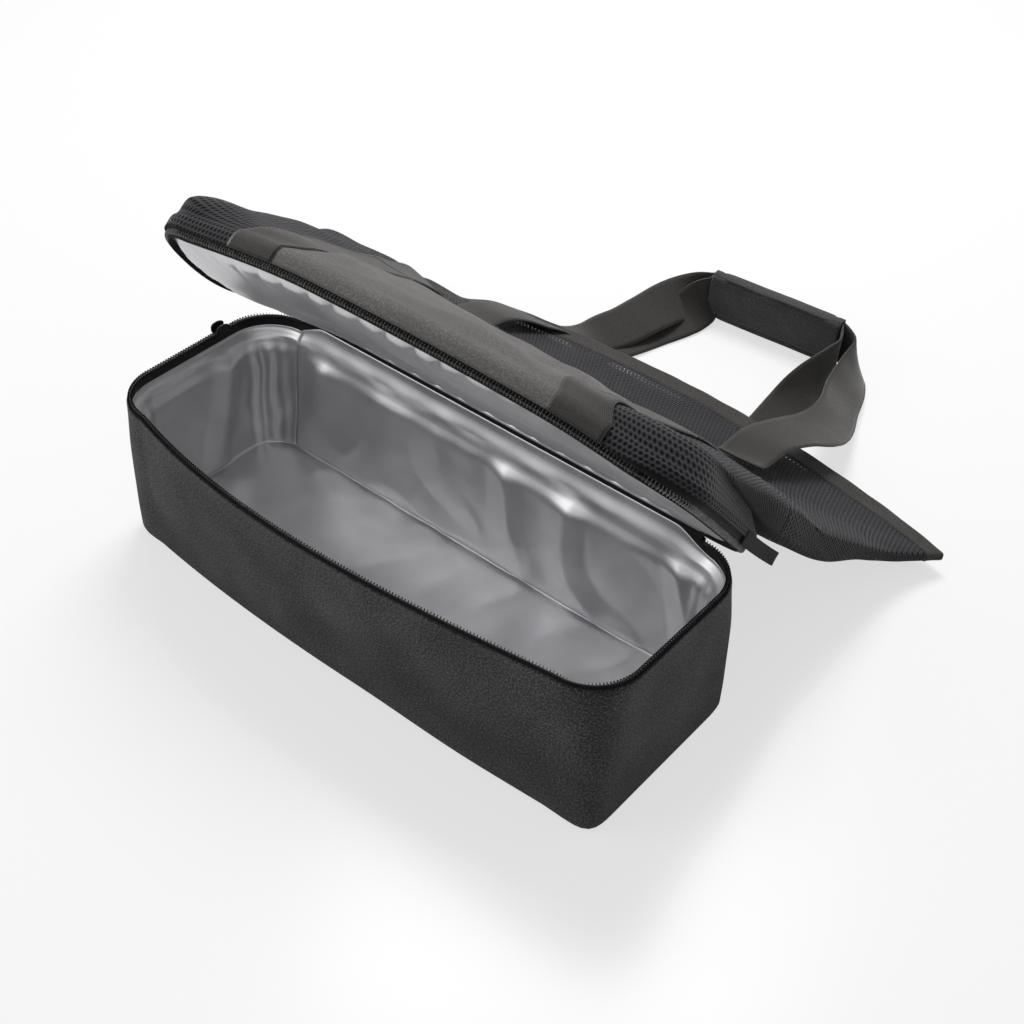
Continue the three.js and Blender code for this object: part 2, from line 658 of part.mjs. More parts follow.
function wallStraps() {
  const straps = [
    { name: 'strap_front_left', centre: frontDistance(STRAP_LEFT_X), lean: 0, rows: STRAP_ROWS },
    { name: 'strap_front_right', centre: frontDistance(STRAP_RIGHT_X), lean: STRAP_LEAN, rows: STRAP_ROWS },
    { name: 'strap_back_left', centre: backDistance(BACK_STRAP_LEFT_X), lean: 0, rows: WALL_ROWS },
    { name: 'strap_back_right', centre: backDistance(BACK_STRAP_RIGHT_X), lean: 0, rows: WALL_ROWS },
  ];
  return straps.flatMap(({ name, centre, lean, rows }) => {
    const to = (distance) =>
      THREE.MathUtils.lerp(AFTER_CREASE(distance), BEFORE_HEM(), rows / WALL_ROWS);
    const shared = {
      distances: stretch(centre - WEBBING_WIDTH / 2, centre + WEBBING_WIDTH / 2),
      lean: () => lean,
      lift: MESH_WALL + LAYER_GAP,
      thickness: WEBBING_THICKNESS,
    };
    const fold = { ...shared, from: RIM, to: BEFORE_CREASE, rows: FOLD_ROWS };
    const wall = { ...shared, from: AFTER_CREASE, to, rows };
    return [
      named(`${name}_fold`, toteSheet(fold), 'webbing'),
      named(name, toteSheet(wall), 'webbing'),
    ];
  });
}

// A strip of webbing along hand-placed stations. Each has its middle and the direction
// of its width.
function ribbon(stations, width, thickness, count) {
  const middle = new THREE.CatmullRomCurve3(stations.map(({ at }) => new THREE.Vector3(...at)));
  const width3 = new THREE.CatmullRomCurve3(stations.map(({ wide }) => new THREE.Vector3(...wide)));
  const rings = steps(0, 1, count).map((t) => {
    const along = middle.getTangent(t);
    const across = width3.getPoint(t);
    across.addScaledVector(along, -across.dot(along)).normalize();
    const face = along.clone().cross(across).normalize();
    const corner = (a, b) => middle.getPoint(t)
      .addScaledVector(across, (a * width) / 2)
      .addScaledVector(face, (b * thickness) / 2);
    return [corner(-1, -1), corner(1, -1), corner(1, 1), corner(-1, 1)];
  });
  return solidFromRings(rings);
}

function zipTail() {
  const outside = LENGTH / 2 + SEAT_GAP + TAIL_THICKNESS;
  const middle = LID_FOOT + TAIL_WIDTH / 2 - SEAT_GAP;
  const stations = [
    { at: [outside, HINGE_Y - 52, middle], wide: [0, 0, 1] },
    { at: [outside + 1, HINGE_Y - 26, middle], wide: [0, 0, 1] },
    { at: [outside + 5, HINGE_Y - 8, middle], wide: [0, 0, 1] },
    { at: [outside + 12, HINGE_Y + 5, middle - 2], wide: [0, 0, 1] },
  ];
  const tail = named('zip_tail_tab', ribbon(stations, TAIL_WIDTH, TAIL_THICKNESS, 8), 'tape');
  tail.applyMatrix4(OPENING);
  return tail;
}

// Handles. Both loops lie on the floor behind the hem and stand on edge in the grip.
const GRIP_MIDDLE = WEBBING_WIDTH / 2 + GRIP_CLEARANCE + GRIP_WALL + FLOOR_CLEARANCE;
const GRIP_TURN = THREE.MathUtils.degToRad(GRIP_TURN_DEG);
const GRIP_ALONG = new THREE.Vector3(Math.cos(GRIP_TURN), Math.sin(GRIP_TURN), 0);
const GRIP_AWAY = new THREE.Vector3(-Math.sin(GRIP_TURN), Math.cos(GRIP_TURN), 0);

function gripPoint(along, away) {
  return new THREE.Vector3(...GRIP_CENTRE, GRIP_MIDDLE)
    .addScaledVector(GRIP_ALONG, along)
    .addScaledVector(GRIP_AWAY, away)
    .toArray();
}

// A loop's straight run on edge through the grip, and a short way out of both its ends
function gripRun(away, tail) {
  const reach = GRIP_LENGTH / 2;
  const stops = [-reach - tail, -reach, -reach / 2, 0, reach / 2, reach, reach + tail];
  return stops.map((along) => ({ at: gripPoint(along, away), wide: [0, 0, 1] }));
}

function handleFront() {
  const stations = [
    ...FRONT_LEG_LEFT,
    ...gripRun(LOOP_SPREAD, 2 * GRIP_TAIL),
    ...FRONT_LEG_RIGHT,
  ];
  return named('handle_front', ribbon(stations, WEBBING_WIDTH, WEBBING_THICKNESS, 56), 'webbing');
}

function handleBack() {
  const stations = [
    ...BACK_LEG_LEFT,
    ...gripRun(-LOOP_SPREAD, GRIP_TAIL),
    ...BACK_LEG_RIGHT,
  ];
  return named('handle_back', ribbon(stations, WEBBING_WIDTH, WEBBING_THICKNESS, 44), 'webbing');
}

// The straps' free stretches, from the wall over the hem to the handle's roots
function freeStraps() {
  const strip = (name, stations) =>
    named(name, ribbon(stations, WEBBING_WIDTH, WEBBING_THICKNESS, 10), 'webbing');
  return [
    strip('strap_front_left_arch', ARCH_LEFT),
    strip('strap_front_right_arch', ARCH_RIGHT),
  ];
}

// Grip: a sheet folded round both loops, closed by a flap that hangs from its top edge
function grip() {
  const inside = GRIP_INSIDE / 2;
  const outside = inside + GRIP_WALL;
  const tall = WEBBING_WIDTH / 2 + GRIP_CLEARANCE;
  const top = tall + GRIP_WALL;
  const lip = -tall + LIP_HEIGHT;
  const wrap = [
    [-outside, -top], [outside, -top], [outside, top], [-outside, top],
    [-outside, tall], [inside, tall], [inside, -tall], [-inside, -tall],
    [-inside, lip], [-outside, lip],
  ];
  const hookFoot = lip - SEAT_GAP - FASTENER_HEIGHT;
  const hook = slab(-outside - SEAT_GAP - FASTENER_WALL, hookFoot, FASTENER_WALL, FASTENER_HEIGHT);
  const loopX = -outside - 2 * (SEAT_GAP + FASTENER_WALL);
  const loop = slab(loopX, hookFoot, FASTENER_WALL, FASTENER_HEIGHT);
  const flapX = loopX - SEAT_GAP - GRIP_WALL;
  const flap = slab(flapX, hookFoot, GRIP_WALL, top - hookFoot);
  const parts = [
    named('handle_wrap', gripExtrusion(wrap, GRIP_LENGTH), 'polyester'),
    named('wrap_hook_strip', gripExtrusion(hook, FASTENER_LENGTH), 'tape'),
    named('wrap_loop_strip', gripExtrusion(loop, FASTENER_LENGTH), 'tape'),
    named('wrap_flap', gripExtrusion(flap, GRIP_LENGTH), 'polyester'),
  ];
  const group = new THREE.Group();
  group.add(...parts);
  const basis = new THREE.Matrix4().makeBasis(GRIP_AWAY, new THREE.Vector3(0, 0, 1), GRIP_ALONG);
  basis.setPosition(GRIP_CENTRE[0], GRIP_CENTRE[1], GRIP_MIDDLE);
  group.applyMatrix4(basis);
  return group;
}

function slab(x, foot, thickness, height) {
  return [[x, foot], [x + thickness, foot], [x + thickness, foot + height], [x, foot + height]];
}

function gripExtrusion(corners, length) {
  const shape = new THREE.Shape(corners.map(([x, y]) => new THREE.Vector2(x, y)));
  const solid = new THREE.ExtrudeGeometry(shape, { depth: length, bevelEnabled: false });
  solid.translate(0, 0, -length / 2);
  return mergeVertices(bare(solid));
}

const bag = new THREE.Group();
bag.name = 'cooler_bag';
bag.add(
  coolerShell(),
  coolerFloor(),
  ...coolerFoam(),
  coolerLiner(),
  coolerZipTape(),
  coolerZipCoil(),
  hingePiping(),
  hingeStrip(),
  zipSlider(),
  zipPull(),
  openedLid(),
  zipTail(),
  ...toteWalls(),
  ...toteHem(),
  frontPocket(),
  ...wallStraps(),
  ...freeStraps(),
  handleFront(),
  handleBack(),
  grip(),
);

export default bag;
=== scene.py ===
# %% [markdown]
# # A cooler bag with a mesh tote on its lid
# This bag is a long soft box, lined with foil over foam, whose lid hinges at the back. A mesh
# tote is sewn to the lid and lies folded back on the floor, with two webbing handles and a
# wrapped grip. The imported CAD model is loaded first, because it fixes every size and every
# joint. The cloth is then modelled over it, piece by piece.

# %% Load the frame
import bmesh
import bpy
import math
from mathutils import Matrix, Vector, noise


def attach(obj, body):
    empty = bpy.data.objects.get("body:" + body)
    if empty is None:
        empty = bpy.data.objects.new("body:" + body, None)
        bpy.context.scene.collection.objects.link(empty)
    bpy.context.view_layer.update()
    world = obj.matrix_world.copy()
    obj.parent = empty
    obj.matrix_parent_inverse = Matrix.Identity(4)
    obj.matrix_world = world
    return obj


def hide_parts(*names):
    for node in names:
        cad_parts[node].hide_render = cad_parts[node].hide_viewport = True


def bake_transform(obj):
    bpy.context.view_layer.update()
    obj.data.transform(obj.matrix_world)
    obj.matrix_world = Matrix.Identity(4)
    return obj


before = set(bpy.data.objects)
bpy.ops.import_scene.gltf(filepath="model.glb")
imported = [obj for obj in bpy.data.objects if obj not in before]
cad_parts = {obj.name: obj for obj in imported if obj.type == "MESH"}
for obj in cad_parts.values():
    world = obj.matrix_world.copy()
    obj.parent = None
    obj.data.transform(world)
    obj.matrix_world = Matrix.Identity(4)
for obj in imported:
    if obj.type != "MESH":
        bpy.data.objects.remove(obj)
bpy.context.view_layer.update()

# %% [markdown]
# ## Camera
# The photograph looks down on the bag from the right of its front. The camera's place and
# turn were fitted to the rim, the foot and the hinge line, so they are written as numbers.

# %% Camera
MM = 0.001
YAW = -0.659478
PITCH = 0.722125
ROLL = 0.048578
LENS, SENSOR_WIDTH = 56.25, 36
CAMERA_PLACE = (575.24, -627.89, 846.75)
camera = bpy.data.objects.new("camera", bpy.data.cameras.new("camera"))
bpy.context.scene.collection.objects.link(camera)
camera.data.lens = LENS
camera.data.sensor_width = SENSOR_WIDTH
camera.location = Vector(CAMERA_PLACE) * MM
turn = Matrix.Rotation(-YAW, 4, "Z") @ Matrix.Rotation(math.pi / 2 - PITCH, 4, "X")
camera.rotation_euler = (turn @ Matrix.Rotation(ROLL, 4, "Z")).to_euler()
camera.data.clip_end = 50
bpy.context.scene.camera = camera

# %% [markdown]
# ## Floor and light
# Product pictures like this stand on a white, slightly glossy sheet. The floor is a plain
# pale plane that keeps the bag's shadow and a faint reflection. Its brightness for the camera
# comes from its own material, so the lamps stay gentle on the black cloth.

# %% Floor and light
def new_material(name):
    """A material with its shader, and a short way to add more nodes."""
    material = bpy.data.materials.new(name)
    material.use_nodes = True
    return material, material.node_tree.nodes, material.node_tree.links


FLOOR_DROP = 0.0004


def stage_floor():
    shape = bmesh.new()
    bmesh.ops.create_grid(shape, x_segments=1, y_segments=1, size=6)
    mesh = bpy.data.meshes.new("floor")
    shape.to_mesh(mesh)
    shape.free()
    floor = bpy.data.objects.new("floor", mesh)
    bpy.context.scene.collection.objects.link(floor)
    floor.location.z = -FLOOR_DROP
    material, nodes, links = new_material("pale_floor")
    shader = nodes["Principled BSDF"]
    shader.inputs["Base Color"].default_value = (0.9, 0.9, 0.9, 1)
    shader.inputs["Roughness"].default_value = 0.22
    white = nodes.new("ShaderNodeEmission")
    white.inputs["Color"].default_value = (1, 1, 1, 1)
    path = nodes.new("ShaderNodeLightPath")
    share = nodes.new("ShaderNodeMath")
    share.operation = "MULTIPLY"
    share.inputs[1].default_value = 0.66
    mix = nodes.new("ShaderNodeMixShader")
    links.new(path.outputs["Is Camera Ray"], share.inputs[0])
    links.new(share.outputs[0], mix.inputs[0])
    links.new(shader.outputs[0], mix.inputs[1])
    links.new(white.outputs[0], mix.inputs[2])
    links.new(mix.outputs[0], nodes["Material Output"].inputs["Surface"])
    mesh.materials.append(material)


def lamp(name, place, target, size, power):
    light = bpy.data.objects.new(name, bpy.data.lights.new(name, "AREA"))
    bpy.context.scene.collection.objects.link(light)
    light.location = place
    light.data.size = size
    light.data.energy = power
    look = Vector(target) - Vector(place)
    light.rotation_euler = look.to_track_quat("-Z", "Y").to_euler()


def studio_world(level):
    world = bpy.data.worlds.new("studio")
    bpy.context.scene.world = world
    world.use_nodes = True
    nodes, links = world.node_tree.nodes, world.node_tree.links
    soft = nodes["Background"]
    soft.inputs["Color"].default_value = (1, 1, 1, 1)
    soft.inputs["Strength"].default_value = level
    white = nodes.new("ShaderNodeBackground")
    white.inputs["Strength"].default_value = 1
    path = nodes.new("ShaderNodeLightPath")
    seen = nodes.new("ShaderNodeMath")
    seen.operation = "MAXIMUM"
    mix = nodes.new("ShaderNodeMixShader")
    links.new(path.outputs["Is Camera Ray"], seen.inputs[0])
    links.new(path.outputs["Is Glossy Ray"], seen.inputs[1])
    through = nodes.new("ShaderNodeMath")
    through.operation = "MAXIMUM"
    links.new(seen.outputs[0], through.inputs[0])
    links.new(path.outputs["Is Transmission Ray"], through.inputs[1])
    links.new(through.outputs[0], mix.inputs[0])
    links.new(soft.outputs[0], mix.inputs[1])
    links.new(white.outputs[0], mix.inputs[2])
    links.new(mix.outputs[0], nodes["World Output"].inputs["Surface"])


bpy.context.scene.view_settings.view_transform = "Standard"
stage_floor()
studio_world(0.3)
lamp("key", (-0.6, 1.1, 1.9), (0, 0.1, 0.1), 0.9, 38)
lamp("fill", (-1.3, -1.5, 1.3), (-0.1, 0, 0.05), 1.2, 9)

# %% [markdown]
# ## Cloth finishes
# Every cloth here is nearly black, so what tells them apart is their structure. Each finish
# reads the piece's own UV map, which is laid out in metres along the cloth, so that a weave
# keeps its real size and follows every fold.

# %% Helpers for the finishes
def node(nodes, kind, **values):
    """A node with its options and its number sockets set by name."""
    made = nodes.new(kind)
    for key, value in values.items():
        if key.startswith("in_"):
            made.inputs[key[3:]].default_value = value
        else:
            setattr(made, key, value)
    return made


class Finish:
    """A material under construction, with short calls for the arithmetic of a pattern."""

    def __init__(self, name, roughness, metallic=0.0, sheen=0.0, specular=0.5):
        self.material, self.nodes, self.links = new_material(name)
        self.shader = self.nodes["Principled BSDF"]
        self.shader.inputs["Roughness"].default_value = roughness
        self.shader.inputs["Metallic"].default_value = metallic
        self.shader.inputs["Sheen Weight"].default_value = sheen
        self.shader.inputs["Sheen Roughness"].default_value = 0.45
        self.shader.inputs["Specular IOR Level"].default_value = specular

    def fill(self, sockets, values):
        """Sets each socket to a number, or links it where the value is a node's output."""
        for socket, value in zip(sockets, values):
            if isinstance(value, (int, float)):
                socket.default_value = value
            else:
                self.links.new(value, socket)

    def math(self, operation, a, b=0.0, c=0.0):
        made = self.nodes.new("ShaderNodeMath")
        made.operation = operation
        self.fill(made.inputs, (a, b, c))
        return made.outputs[0]

    def add(self, a, b):
        return self.math("ADD", a, b)

    def times(self, a, b):
        return self.math("MULTIPLY", a, b)

    def weave_lengths(self):
        """The two lengths along the cloth, in millimetres."""
        uv = node(self.nodes, "ShaderNodeUVMap", uv_map="weave")
        split = self.nodes.new("ShaderNodeSeparateXYZ")
        self.links.new(uv.outputs[0], split.inputs[0])
        return [self.times(split.outputs[k], 1000) for k in (0, 1)]

    def at(self, x, y, z=0.0):
        made = self.nodes.new("ShaderNodeCombineXYZ")
        self.fill(made.inputs, (x, y, z))
        return made.outputs[0]

    def noise(self, place, scale, detail=2.0, rough=0.5):
        made = node(self.nodes, "ShaderNodeTexNoise", in_Scale=scale, in_Detail=detail, in_Roughness=rough)
        self.links.new(place, made.inputs["Vector"])
        return made.outputs["Fac"]

    def object_place(self):
        return self.nodes.new("ShaderNodeTexCoord").outputs["Object"]

    def ramp(self, value, low, high, dark, light):
        """Colour that goes from dark to light as value goes from low to high."""
        made = self.nodes.new("ShaderNodeValToRGB")
        made.color_ramp.elements[0].position = low
        made.color_ramp.elements[0].color = (*dark, 1)
        made.color_ramp.elements[1].position = high
        made.color_ramp.elements[1].color = (*light, 1)
        self.links.new(value, made.inputs[0])
        return made.outputs[0]

    def colour(self, value):
        self.links.new(value, self.shader.inputs["Base Color"])

    def bump(self, height, distance, strength=1.0):
        made = node(self.nodes, "ShaderNodeBump", in_Strength=strength, in_Distance=distance * MM)
        self.links.new(height, made.inputs["Height"])
        self.links.new(made.outputs[0], self.shader.inputs["Normal"])

    def wave(self, length, pitch):
        """Ridges from 0 to 1 across a length, a pitch apart, in millimetres."""
        turned = self.times(length, 2 * math.pi / pitch)
        return self.math("MULTIPLY_ADD", self.math("SINE", turned), 0.5, 0.5)


# %% [markdown]
# ### Speckled polyester
# The shell, the pocket panel, the hem and the grip are a heavy plain weave of black and
# charcoal yarns. Two crossed waves give the yarns, and a noise at the size of one yarn
# lightens some of them, which reads as the fine speckle of the real cloth.

# %% Speckled polyester
def polyester_finish(name, dark, light, yarn=0.62, sheen=0.2):
    finish = Finish(name, roughness=0.8, sheen=sheen, specular=0.12)
    u, v = finish.weave_lengths()
    warp = finish.wave(u, yarn)
    weft = finish.wave(v, yarn)
    yarns = finish.times(warp, weft)
    speckle = finish.noise(finish.at(u, v), 0.62, detail=4.0, rough=0.75)
    cloud = finish.noise(finish.at(u, v), 0.02, detail=2.0)
    tone = finish.add(finish.times(speckle, 0.86), finish.times(cloud, 0.14))
    finish.colour(finish.ramp(tone, 0.46, 0.68, dark, light))
    finish.bump(finish.add(yarns, finish.times(speckle, 1.2)), 0.22)
    return finish.material


FINE_YARN = 0.5
shell_cloth = polyester_finish("speckled_polyester", (0.013, 0.013, 0.014), (0.19, 0.182, 0.197))
# The pocket panel is the shell's cloth, coloured lighter and warmer as a painted sheen of the light that
# grazes it.
panel_cloth_painted_sheen = polyester_finish("panel_polyester_painted_sheen", (0.10, 0.094, 0.091), (0.27, 0.253, 0.245), FINE_YARN, 0.5)
hem_cloth = polyester_finish("hem_polyester", (0.03, 0.028, 0.026), (0.095, 0.088, 0.082), FINE_YARN, 0.3)
grip_cloth = polyester_finish("grip_polyester", (0.045, 0.043, 0.045), (0.13, 0.124, 0.127), FINE_YARN, 0.3)

# %% [markdown]
# ### Spacer mesh
# The tote is a knitted mesh with rows of round holes, each row half a hole further along.
# The distance to the nearest hole is the smaller of the distances to two lattices, twice as
# tall as they are wide and one in the middle of the other. Inside a hole the cloth is let
# through, and its rim is bumped. Round that small cut the colour darkens to near black, a
# painted shade that stands in for the rest of the open hole.

# %% Spacer mesh
def mesh_finish(name, pitch=3.5, hole=0.5):
    finish = Finish(name, roughness=0.65, sheen=0.12, specular=0.12)
    u, v = finish.weave_lengths()
    tall = pitch * 2.0

    def lattice(shift):
        x = finish.math("FRACT", finish.add(finish.math("DIVIDE", u, pitch), shift))
        y = finish.math("FRACT", finish.add(finish.math("DIVIDE", v, tall), shift))
        dx = finish.times(finish.math("SUBTRACT", x, 0.5), pitch)
        dy = finish.times(finish.math("SUBTRACT", y, 0.5), tall)
        return finish.math("SQRT", finish.add(finish.times(dx, dx), finish.times(dy, dy)))

    away = finish.math("MINIMUM", lattice(0.0), lattice(0.5))
    rim = finish.math("DIVIDE", away, pitch * 0.56)
    yarn = finish.wave(finish.add(u, finish.times(v, 0.6)), 0.8)
    # The colour darkens towards each hole: painted shade of the open hole, beyond the small cut.
    tone = finish.add(rim, finish.times(finish.noise(finish.at(u, v), 0.6, 2.0), 0.25))
    finish.colour(finish.ramp(tone, 0.6, 1.0, (0.0015, 0.0015, 0.002), (0.042, 0.042, 0.048)))
    cover = finish.math("GREATER_THAN", away, hole)
    finish.links.new(cover, finish.shader.inputs["Alpha"])
    finish.bump(finish.add(rim, finish.times(yarn, 0.12)), 0.9)
    return finish.material


tote_mesh = mesh_finish("spacer_mesh")

# %% [markdown]
# ### Ribbed webbing
# Heavy webbing has ribs along its length, each made of short yarns that lie side by side.
# U runs across the strap and V along it, so ribs are waves in U, broken up by waves in V.
# The colour follows their height, so the grooves carry painted shade.

# %% Ribbed webbing
RIB_PITCH = 1.3


def webbing_finish(name):
    finish = Finish(name, roughness=0.74, sheen=0.4, specular=0.15)
    u, v = finish.weave_lengths()
    ribs = finish.wave(u, RIB_PITCH)
    step = finish.times(finish.math("FLOOR", finish.math("DIVIDE", u, RIB_PITCH)), 0.5)
    yarns = finish.wave(finish.add(v, step), 1.1)
    broken = finish.math("MULTIPLY_ADD", yarns, 0.35, 0.65)
    height = finish.times(finish.math("POWER", ribs, 0.6), broken)
    # The colour follows the rib height, so the grooves between ribs and yarns are darkened with painted
    # shade.
    tone = finish.add(finish.times(height, 0.7),
                       finish.times(finish.noise(finish.at(u, v), 0.35, 3.0), 0.35))
    finish.colour(finish.ramp(tone, 0.15, 0.95, (0.012, 0.011, 0.010), (0.072, 0.066, 0.061)))
    finish.bump(height, 0.17)
    return finish.material


webbing_cloth = webbing_finish("ribbed_webbing")

# %% [markdown]
# ### Tape, foil, foam and zip parts
# The zip tape is a tight twill. The foil is a satin metallised film: its roughness is not
# even, and fine creases run over the larger folds that the mesh itself carries.

# %% Tape, foil, foam and zip parts
def tape_finish():
    finish = Finish("twill_tape", roughness=0.75, sheen=0.12, specular=0.12)
    u, v = finish.weave_lengths()
    twill = finish.wave(finish.add(u, v), 0.7)
    # The twill lines also darken the colour in their grooves, a painted shade of the weave.
    tone = finish.add(twill, finish.noise(finish.at(u, v), 0.5, 2.0))
    finish.colour(finish.ramp(tone, 0.5, 1.6, (0.004, 0.004, 0.005), (0.018, 0.018, 0.019)))
    finish.bump(twill, 0.14)
    return finish.material


def foil_finish():
    finish = Finish("satin_foil", roughness=0.4, metallic=0.8, specular=0.5)
    place = finish.object_place()
    creases = finish.noise(place, 26, 2.0, 0.4)
    grain = finish.noise(place, 1500, 2.0, 0.5)
    finish.colour(finish.ramp(creases, 0.3, 0.7, (0.58, 0.58, 0.60), (0.70, 0.70, 0.71)))
    rough = finish.math("MULTIPLY_ADD", creases, 0.16, 0.3)
    finish.links.new(rough, finish.shader.inputs["Roughness"])
    finish.bump(finish.add(creases, finish.times(grain, 0.03)), 1.2, 0.5)
    return finish.material


def plain_finish(name, dark, light, roughness, scale, depth, metallic=0.0, specular=0.5):
    """A moulded or foamed surface: a colour that wanders a little, and a fine grain."""
    finish = Finish(name, roughness=roughness, metallic=metallic, specular=specular)
    place = finish.object_place()
    grain = finish.noise(place, scale, 4.0, 0.6)
    finish.colour(finish.ramp(grain, 0.35, 0.65, dark, light))
    finish.bump(grain, depth)
    return finish.material


tape_cloth = tape_finish()
foil_film = foil_finish()
foam_sheet = plain_finish("foam_sheet", (0.78, 0.78, 0.76), (0.88, 0.88, 0.86), 0.9, 500, 0.15)
board_sheet = plain_finish("floor_board", (0.02, 0.02, 0.02), (0.04, 0.04, 0.04), 0.7, 300, 0.1)
coil_nylon = plain_finish("coil_nylon", (0.012, 0.012, 0.012), (0.04, 0.039, 0.038), 0.5, 200, 0.03,
                          specular=0.2)
# The lid's teeth are the same black nylon as the rim's coil, coloured pale as a painted highlight of the
# light they catch.
painted_highlight_nylon = plain_finish("painted_highlight_coil_nylon", (0.42, 0.41, 0.40), (0.70, 0.685, 0.67), 0.4, 300, 0.03)
black_metal = plain_finish("black_metal", (0.02, 0.02, 0.022), (0.05, 0.05, 0.052), 0.34, 160, 0.03, 0.8)
thread_yarn = plain_finish("sewing_thread", (0.03, 0.029, 0.028), (0.075, 0.072, 0.07), 0.6, 900, 0.04)

# %% [markdown]
# ## The outline of the box
# The rim is a rounded rectangle whose front bows out. A distance round it, in millimetres
# from the left end of the back side, gives a point and the outward direction there. The
# layers of the wall all use this outline, so they stay parallel.

# %% The outline of the box
LENGTH, DEPTH, HEIGHT, CORNER = 460.0, 166.0, 130.0, 40.0
FOOT_INSET, FRONT_BOW, FOOT_BOW, LID_BOW, BOW_SKEW = 3.5, 20.0, 8.0, 6.0, 0.3
LID_OPEN = math.radians(50)
QUARTER = math.pi * CORNER / 2
SIDE = DEPTH - 2 * CORNER
FRONT = LENGTH - 2 * CORNER
LEFT_START = QUARTER
LEFT_END = LEFT_START + SIDE
FRONT_START = LEFT_END + QUARTER
FRONT_END = FRONT_START + FRONT
RIGHT_START = FRONT_END + QUARTER
RIGHT_END = RIGHT_START + SIDE
BACK_START = RIGHT_END + QUARTER
PERIMETER = BACK_START + FRONT


def outline(distance):
    """(x, y) on the rim and the outward (x, y) direction, for a distance round the box."""
    s = distance % PERIMETER
    x, y = LENGTH / 2 - CORNER, DEPTH / 2 - CORNER
    runs = [
        (LEFT_START, -x, y, 90, None), (LEFT_END, -x, y, 180, (0, -1)),
        (FRONT_START, -x, -y, 180, None), (FRONT_END, -x, -y, 270, (1, 0)),
        (RIGHT_START, x, -y, 270, None), (RIGHT_END, x, -y, 360, (0, 1)),
        (BACK_START, x, y, 0, None), (PERIMETER, x, y, 90, (-1, 0)),
    ]
    start = 0.0
    for end, cx, cy, degrees, straight in runs:
        if s <= end:
            break
        start = end
    along = s - start
    angle = math.radians(degrees) + (0 if straight else along / CORNER)
    nx, ny = math.cos(angle), math.sin(angle)
    dx, dy = straight if straight else (0, 0)
    return cx + nx * CORNER + dx * along, cy + ny * CORNER + dy * along, nx, ny


def bow_share(x, y):
    u = max(-1.0, min(1.0, x / (LENGTH / 2 - CORNER)))
    return (1 - u * u) * (1 - BOW_SKEW * u) if y < 0 else 0.0


def wall_point(distance, inset, z):
    """A point of the box's wall, inset from its outside, at a height above the floor."""
    x, y, nx, ny = outline(distance)
    rise = max(0.0, min(1.0, z / HEIGHT))
    draw = inset + FOOT_INSET * (1 - rise)
    forward = (FOOT_BOW + (FRONT_BOW - FOOT_BOW) * rise) * bow_share(x, y)
    return Vector((x - nx * draw, y - ny * draw - forward, z))


def even(start, end, step):
    """Evenly spaced values from start to end, about a step apart."""
    count = max(1, round(abs(end - start) / step))
    return [start + (end - start) * k / count for k in range(count + 1)]


def smooth(value):
    """0 below 0, 1 above 1, and an even slope between."""
    t = max(0.0, min(1.0, value))
    return t * t * (3 - 2 * t)


def ripple(point, scale):
    """Smooth noise from about -1 to 1 whose bumps are a scale apart, in millimetres."""
    return noise.noise(Vector(point) / scale)


print("round the rim: %.0f mm" % PERIMETER)

# %% [markdown]
# ## A sheet of cloth
# Nearly every piece is a sheet. bmesh makes a flat grid, each corner of the grid is moved to
# its place on the bag, and the distances along the placed sheet become its UV map. A sheet
# that goes right round is closed by merging its first and last column. Solidify gives the
# cloth its thickness.

# %% A sheet of cloth
def finish_piece(name, shape, material, thick=0.0, side=-1.0):
    """Turns a bmesh into a smooth-shaded object with its finish, and a wall where one is asked."""
    mesh = bpy.data.meshes.new(name)
    shape.to_mesh(mesh)
    shape.free()
    for face in mesh.polygons:
        face.use_smooth = True
    mesh.materials.append(material)
    piece = bpy.data.objects.new(name, mesh)
    bpy.context.scene.collection.objects.link(piece)
    if thick:
        wall = piece.modifiers.new("wall", "SOLIDIFY")
        wall.thickness = thick * MM
        wall.offset = side
        wall.use_even_offset = False
    return piece


def lengths_along(points):
    total, out = 0.0, [0.0]
    for a, b in zip(points, points[1:]):
        total += (b - a).length
        out.append(total)
    return out


def cloth(name, columns, rows, place, material, thick=0.0, side=-1.0, closed=False, flip=False):
    """A grid whose corner (i, j) goes to place(columns[i], rows[j]), in millimetres."""
    shape = bmesh.new()
    weave = shape.loops.layers.uv.new("weave")
    bmesh.ops.create_grid(shape, x_segments=len(columns) - 1, y_segments=len(rows) - 1, size=1)
    shape.verts.ensure_lookup_table()
    wide, tall = len(columns), len(rows)
    points = [place(column, row) for row in rows for column in columns]
    middle = tall // 2
    across = lengths_along(points[middle * wide:(middle + 1) * wide])
    thirds = [wide // 4, wide // 2, (3 * wide) // 4]
    runs = [lengths_along(points[k::wide]) for k in thirds]
    down = [sum(run[j] for run in runs) / 3 for j in range(tall)]
    for face in shape.faces:
        for loop in face.loops:
            k = loop.vert.index
            loop[weave].uv = (across[k % wide] * MM, down[k // wide] * MM)
    for vert, point in zip(shape.verts, points):
        vert.co = point * MM
    if closed:
        bmesh.ops.remove_doubles(shape, verts=shape.verts, dist=0.00001)
    if flip:
        bmesh.ops.reverse_faces(shape, faces=shape.faces)
    return finish_piece(name, shape, material, thick, side)


def round_stops(step):
    """Distances all the way round, even in each run, so that front and back columns pair up."""
    stops = [0, LEFT_START, LEFT_END, FRONT_START, FRONT_END, RIGHT_START, RIGHT_END, BACK_START, PERIMETER]
    out = [0.0]
    for start, end in zip(stops, stops[1:]):
        out += even(start, end, step)[1:]
    return out


ROUND = round_stops(4.0)
print("columns round the box:", len(ROUND) - 1)


def lerp(a, b, t):
    return a + (b - a) * t


